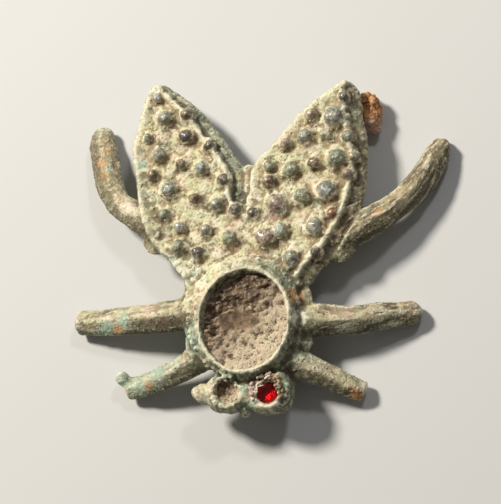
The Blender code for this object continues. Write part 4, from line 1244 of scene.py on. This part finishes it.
def gem_mesh(name):
    """A low chipped gem on a broken outline, its top in flat facets."""
    shape = bmesh.new()
    rows = []
    base, girdle, crown = GEM_LEVELS
    for share, level, slant in (
        (0.96, base, 0.0), (1.0, girdle, 0.0), (0.9, crown - 0.1, 0.1), (0.55, crown, 0.12),
    ):
        rows.append([
            shape.verts.new((GLASS_EYE[0] + share * x, GLASS_EYE[1] + share * y, level + slant * (y - x)))
            for x, y in GEM_OUTLINE
        ])
    for inner, outer in zip(rows, rows[1:]):
        for side in range(len(GEM_OUTLINE)):
            shape.faces.new((inner[side - 1], inner[side], outer[side], outer[side - 1]))
    shape.faces.new(reversed(rows[0]))
    shape.faces.new(rows[-1])
    return mesh_object(name, shape)


def length_setting(name, description, default):
    return FloatProperty(name=name, description=description, default=default, unit="LENGTH", precision=6)


def colour_setting(name, description, *rgb):
    return FloatVectorProperty(
        name=name, description=description, default=(*rgb, 1.0), size=4, subtype="COLOR"
    )


class CastingSizes(bpy.types.PropertyGroup):
    voxel: length_setting("Skin spacing", "Spacing of the fine skin", 0.000158)
    pellet_rise: length_setting("Pellet rise", "How far a typical pellet stands up", 0.00098)
    pellet_spread: FloatProperty(
        name="Pellet spread", description="Width of the pellets' domes as a share", default=1.08, min=0.5,
        max=2.0,
    )
    pellet_dent: length_setting("Pellet dents", "Range of the pellets' dents", 0.00056)
    lump_height: length_setting("Lump height", "Range of the broad corrosion lumps", 0.0005)
    crust_height: length_setting("Crust height", "Range of the fine crust", 0.00018)
    pit_depth: length_setting("Pit depth", "Depth of the corrosion pits", 0.00006)
    streak_depth: length_setting("Streak depth", "Range of the grain along the legs", 0.00042)
    grain_density: FloatProperty(
        name="Loose grains", description="Corrosion grains on a square millimetre", default=1.2, min=0.0
    )
    seed: IntProperty(name="Seed", description="Seed of the corrosion's pattern", default=4)


class PatinaColours(bpy.types.PropertyGroup):
    crust: colour_setting("Crust", "Buff crust on the face", 0.66, 0.56, 0.36)
    # This pale crust is also the painted highlight on the rims, the lip and raised places
    pale: colour_setting("Pale crust", "Palest crust, on rims and ridges", 0.80, 0.75, 0.56)
    buff: colour_setting("Buff", "Pinkish buff patches of the crust", 0.64, 0.46, 0.30)
    patina: colour_setting("Patina", "Green-grey patina below the crust", 0.29, 0.31, 0.21)
    olive: colour_setting("Olive", "Dark olive patina and pits", 0.11, 0.11, 0.055)
    verdigris: colour_setting("Verdigris", "Pale turquoise corrosion", 0.34, 0.50, 0.38)
    # Brown of the painted shadows beside the pellets and of the ring round the glass; on the crust also the
    # painted shade in hollows
    collar: colour_setting("Collars", "Brown stain beside the pellets", 0.27, 0.18, 0.09)
    lichen: colour_setting("Yellow-green", "Yellow-green tinge of the crust", 0.55, 0.57, 0.31)
    rosy: colour_setting("Rosy crust", "Pinkish crust and flakes beside the glass", 0.62, 0.42, 0.36)
    # This olive brown is also the painted shade on the wall below the glass
    umber: colour_setting("Umber", "Olive brown of a flank, the forelegs and the head", 0.25, 0.18, 0.09)
    # This dark brown is also the painted shade in hollows and on the legs' lower sides
    dirt: colour_setting("Dirt", "Dark brown dirt in hollows and cracks", 0.085, 0.055, 0.03)
    rust: colour_setting("Rust", "Orange rust stains", 0.56, 0.26, 0.085)
    deep_rust: colour_setting("Deep rust", "Darker rust of the pin", 0.26, 0.095, 0.03)
    # This dust colour is also the pale of the rust's raised places, wear with painted highlight
    rust_dust: colour_setting("Rust dust", "Pale dust on the rust", 0.78, 0.50, 0.28)
    paste: colour_setting("Cell paste", "Brown decayed bedding", 0.22, 0.14, 0.075)
    paste_light: colour_setting("Light cell paste", "Pinkish buff of the lit bedding", 0.62, 0.50, 0.35)


class GlassLook(bpy.types.PropertyGroup):
    colour: colour_setting("Glass", "Colour of the eye's glass", 0.86, 0.006, 0.01)
    roughness: FloatProperty(
        name="Roughness", description="How dull the glass is", default=0.06, min=0.0, max=1.0
    )


class StageLook(bpy.types.PropertyGroup):
    floor: colour_setting("Floor", "Colour of the plain floor", 0.60, 0.59, 0.57)
    key_power: FloatProperty(
        name="Key light", description="Power of the light at the upper left", default=2.25, unit="POWER"
    )
    top_power: FloatProperty(
        name="Top light", description="Power of the small light from above", default=0.3, unit="POWER"
    )
    sky: FloatProperty(name="Sky", description="Strength of the even light all round", default=0.14, min=0.0)


class BROOCH_OT_casting(bpy.types.Operator):
    """Builds the corroded casting with its pellets and loose grains"""

    bl_idname = "brooch.casting"
    bl_label = "Corroded casting"

    def execute(self, context):
        sizes = context.scene.brooch_casting
        finish = patinated_bronze(context.scene.brooch_patina)
        voxel = sizes.voxel * PER_MM
        corners = blob_shells(
            "corners", finish,
            {"Seed": sizes.seed, "Tilt": (0.0, 0.0, 0.0), "Flare": 0.3, "Dent Depth": 0.06},
            [web[:3] for web in CORNERS], [web[3:] for web in CORNERS],
        )
        body = remeshed(joined(node_copy("fly_casting", "brooch_casting"), [corners]), voxel, 7)
        shape_face(body.data)
        rise = sizes.pellet_rise * PER_MM
        wide = sizes.pellet_spread
        pellets = blob_shells(
            "pellets", finish, {"Seed": sizes.seed, "Dent Depth": sizes.pellet_dent * PER_MM},
            [(x, y, WING_FIELD - PELLET_SINK) for x, y, _, _ in PELLETS],
            [(wide * radius, wide * radius, rise * (0.55 + 0.7 * radius)) for _, _, radius, _ in PELLETS],
        )
        crust = blob_shells(
            "crust_lumps", finish,
            {"Seed": sizes.seed, "Fineness": 3, "Flare": 0.1, "Tilt": (0.5, 0.5, 3.0), "Dent Depth": 0.5},
            *crust_lumps(vertex_places(body.data)[0]),
        )
        body = remeshed(joined(body, [pellets, crust]), voxel, 2)
        crown = mark_casting(body.data)
        run_tree(body, corrosion_relief, {
            "Lump Height": sizes.lump_height * PER_MM, "Crust Height": sizes.crust_height * PER_MM,
            "Pit Depth": sizes.pit_depth * PER_MM, "Streak Depth": sizes.streak_depth * PER_MM,
            "Seed": sizes.seed, "Finish": finish,
        })

        places, normals = vertex_places(body.data)
        mark(body.data, "crusty", (1.0 - crown) * ramp(normals[:, 2], -0.3, 0.4))
        grains = linked_object("corrosion_grains", body.data.copy())
        run_tree(grains, corrosion_grains, {
            "Density": sizes.grain_density, "Seed": sizes.seed, "Finish": finish,
        })
        flakes = blob_shells(
            "gem_flakes", finish,
            {"Seed": sizes.seed, "Fineness": 3, "Flare": 0.0, "Tilt": (0.3, 0.3, 0.3), "Dent Size": 0.17},
            *gem_flakes(places),
        )
        _, normals = vertex_places(flakes.data)
        mark(flakes.data, "upward", normals[:, 2])
        for stain in ("white", "rosy", "rust", "brown"):
            strengths = [FLAKE_TONES[flake[-1]].get(stain, 0.0) for flake in FLAKES]
            mark(flakes.data, stain, np.repeat(strengths, len(normals) // len(FLAKES)))
        fitted(body, finish, "bronze", "brooch_casting")
        fitted(joined(grains, [flakes]), finish, "bronze")
        return {"FINISHED"}


class BROOCH_OT_bedding(bpy.types.Operator):
    """Builds the decayed bedding of the back cell and of the empty eye"""

    bl_idname = "brooch.bedding"
    bl_label = "Decayed bedding"

    def execute(self, context):
        colours = context.scene.brooch_patina
        cell = remeshed(bowl_mesh("cell_remains", *CELL_BED), SPACING, 2)
        places, _ = vertex_places(cell.data)
        lit = ramp(slope(places, LIT_SIDE), -2.4, 2.2)
        plane = fade(distance(places, FLAT_SPOT, FLAT_REACH), 0.6, 1.1)
        mark(cell.data, "lit", lit * (1.0 - plane))
        mark(cell.data, "streaky", (1.0 - 0.9 * plane) * (1.0 - 0.75 * lit))
        path = [*(slope(places, way) for way in CELL_STREAKS), places[:, 2]]
        mark(cell.data, "grain_path", np.column_stack(path), "FLOAT_VECTOR")
        mark(cell.data, "calm", np.maximum(0.45 * lit, 0.9 * plane))
        finish = decayed_paste("decayed_cell_paste", colours, colours.paste_light, 0.9)
        run_tree(cell, corrosion_relief, {
            "Lump Size": 1.6, "Lump Height": 0.9, "Crust Size": 0.8, "Crust Height": 0.9, "Pit Size": 0.7,
            "Pit Depth": 0.16, "Streak Width": 0.8, "Streak Stretch": 0.4, "Streak Depth": 1.5, "Seed": 9,
            "Finish": finish,
        })
        fitted(cell, finish, "bedding", "cell_bedding")

        eye = remeshed(bowl_mesh("eye_remains", *EYE_BED), FINE_SPACING, 2)
        places, _ = vertex_places(eye.data)
        mark(eye.data, "lit", ramp(slope(places, LIT_SIDE, EMPTY_EYE), -0.5, 0.9))
        finish = decayed_paste("decayed_eye_paste", colours, colours.paste_light, 0.5)
        run_tree(eye, corrosion_relief, {
            "Lump Size": 0.6, "Lump Height": 0.4, "Crust Size": 0.4, "Crust Height": 0.35, "Pit Size": 0.3,
            "Pit Depth": 0.08, "Seed": 12, "Finish": finish,
        })
        fitted(eye, finish, "bedding", "eye_bedding")
        return {"FINISHED"}


class BROOCH_OT_glass(bpy.types.Operator):
    """Builds the chipped red glass of the other eye on its pale backing"""

    bl_idname = "brooch.glass"
    bl_label = "Red glass"

    def execute(self, context):
        look = context.scene.brooch_glass
        colours = context.scene.brooch_patina
        finish = red_glass(look.colour, look.roughness)
        glass = gem_mesh("eye_gem")
        fitted(glass, finish, "red_glass", "eye_glass")
        glass.data.shade_flat()
        backing = bowl_mesh("gem_backing", *GLASS_BED)
        pale = decayed_paste("pale_backing", colours, colours.pale, 0.5)
        places, _ = vertex_places(backing.data)
        toward_light = slope(places, GLASS_LIT_SIDE, GLASS_EYE)
        mark(backing.data, "lit", ramp(toward_light, -0.3, 0.7))
        fitted(backing, pale, "bedding")
        return {"FINISHED"}


class BROOCH_OT_pin(bpy.types.Operator):
    """Builds the rusted axle, its lump of rust and the pin's stub"""

    bl_idname = "brooch.pin"
    bl_label = "Rusted pin"

    def execute(self, context):
        finish = rust_crust(context.scene.brooch_patina)
        lump = blob_shells(
            "rust_lump", finish, {"Seed": 2, "Flare": 0.0, "Tilt": (0.2, 0.2, 0.2), "Dent Depth": 0.3},
            [part[:3] for part in RUST_LUMP], [part[3:] for part in RUST_LUMP],
        )
        pin = remeshed(joined(node_copy("rusted_pin", "iron_pin"), [lump]), SPACING, 2)
        run_tree(pin, corrosion_relief, {
            "Lump Size": 0.9, "Lump Height": 0.7, "Crust Size": 0.35, "Crust Height": 0.5, "Pit Size": 0.3,
            "Pit Depth": 0.12, "Seed": 6, "Finish": finish,
        })
        places, _ = vertex_places(pin.data)
        mark(pin.data, "dusty", fade(places[:, 1], *DUSTY_END))
        fitted(pin, finish, "rusted_iron", "iron_pin")
        return {"FINISHED"}


class BROOCH_OT_stage(bpy.types.Operator):
    """Sets the plain floor, the soft lights and the camera"""

    bl_idname = "brooch.stage"
    bl_label = "Stage, lights and camera"

    def execute(self, context):
        look = context.scene.brooch_stage
        scene = context.scene
        floor_shape = bmesh.new()
        bmesh.ops.create_grid(floor_shape, x_segments=1, y_segments=1, size=2.0)
        floor = mesh_object("floor", floor_shape)
        material = bpy.data.materials.new("plain_floor")
        material.use_nodes = True
        shader = material.node_tree.nodes["Principled BSDF"]
        shader.inputs["Base Color"].default_value = look.floor
        shader.inputs["Roughness"].default_value = 0.9
        floor.data.materials.append(material)

        turn = Matrix((VIEW_RIGHT, VIEW_UP, VIEW_BACK)).transposed()
        middle = (turn @ Vector(VIEW_MIDDLE) + Vector((DRAWN_X, DRAWN_Y, 0.0))) * MM
        camera_data = bpy.data.cameras.new("photo_view")
        camera_data.sensor_width = SENSOR
        camera_data.lens = SENSOR * VIEW_DISTANCE / VIEW_HEIGHT
        camera_data.clip_start = 0.01
        camera = linked_object("photo_view", camera_data)
        camera.matrix_world = Matrix.Translation(middle + VIEW_BACK * VIEW_DISTANCE * MM) @ turn.to_4x4()
        scene.camera = camera

        for name, shares, distance, size, power, colour in (
            ("key_light", (-0.70, 0.57, 0.42), 0.40, 0.08, look.key_power, (1.0, 0.96, 0.88)),
            ("top_light", (0.18, 0.75, 0.64), 0.40, 0.06, look.top_power, (0.93, 0.96, 1.0)),
        ):
            towards = turn @ Vector(shares)
            lamp_data = bpy.data.lights.new(name, "AREA")
            lamp_data.shape = "DISK"
            lamp_data.size = size
            lamp_data.energy = power
            lamp_data.color = colour
            lamp = linked_object(name, lamp_data)
            lamp.location = middle + towards.normalized() * distance
            lamp.rotation_euler = towards.to_track_quat("Z", "Y").to_euler()

        world = bpy.data.worlds.new("even_sky")
        world.use_nodes = True
        sky = world.node_tree.nodes["Background"]
        sky.inputs["Color"].default_value = (1.0, 0.99, 0.97, 1.0)
        sky.inputs["Strength"].default_value = look.sky
        scene.world = world
        scene.view_settings.view_transform = "Standard"
        return {"FINISHED"}


class BROOCH_PT_panel(bpy.types.Panel):
    """Lists the brooch's sizes, colours and steps"""

    bl_idname = "BROOCH_PT_panel"
    bl_label = "Fly brooch"
    bl_space_type = "VIEW_3D"
    bl_region_type = "UI"
    bl_category = "Brooch"

    def draw(self, context):
        layout = self.layout
        for name in SETTINGS:
            box = layout.box()
            settings = getattr(context.scene, name)
            for key in settings.bl_rna.properties.keys():
                if key not in ("rna_type", "name"):
                    box.prop(settings, key)
        for operator in OPERATORS:
            layout.operator(operator.bl_idname)


SETTINGS = {
    "brooch_casting": CastingSizes,
    "brooch_patina": PatinaColours,
    "brooch_glass": GlassLook,
    "brooch_stage": StageLook,
}
OPERATORS = (BROOCH_OT_casting, BROOCH_OT_bedding, BROOCH_OT_glass, BROOCH_OT_pin, BROOCH_OT_stage)


def register():
    for group in SETTINGS.values():
        bpy.utils.register_class(group)
    for operator in OPERATORS:
        bpy.utils.register_class(operator)
    bpy.utils.register_class(BROOCH_PT_panel)
    for name, group in SETTINGS.items():
        setattr(bpy.types.Scene, name, PointerProperty(type=group))


def unregister():
    for name in SETTINGS:
        delattr(bpy.types.Scene, name)
    bpy.utils.unregister_class(BROOCH_PT_panel)
    for operator in reversed(OPERATORS):
        bpy.utils.unregister_class(operator)
    for group in reversed(SETTINGS.values()):
        bpy.utils.unregister_class(group)


def main():
    register()
    bpy.ops.brooch.casting()
    bpy.ops.brooch.bedding()
    bpy.ops.brooch.glass()
    bpy.ops.brooch.pin()
    bpy.ops.brooch.stage()


if __name__ == "__main__":
    main()
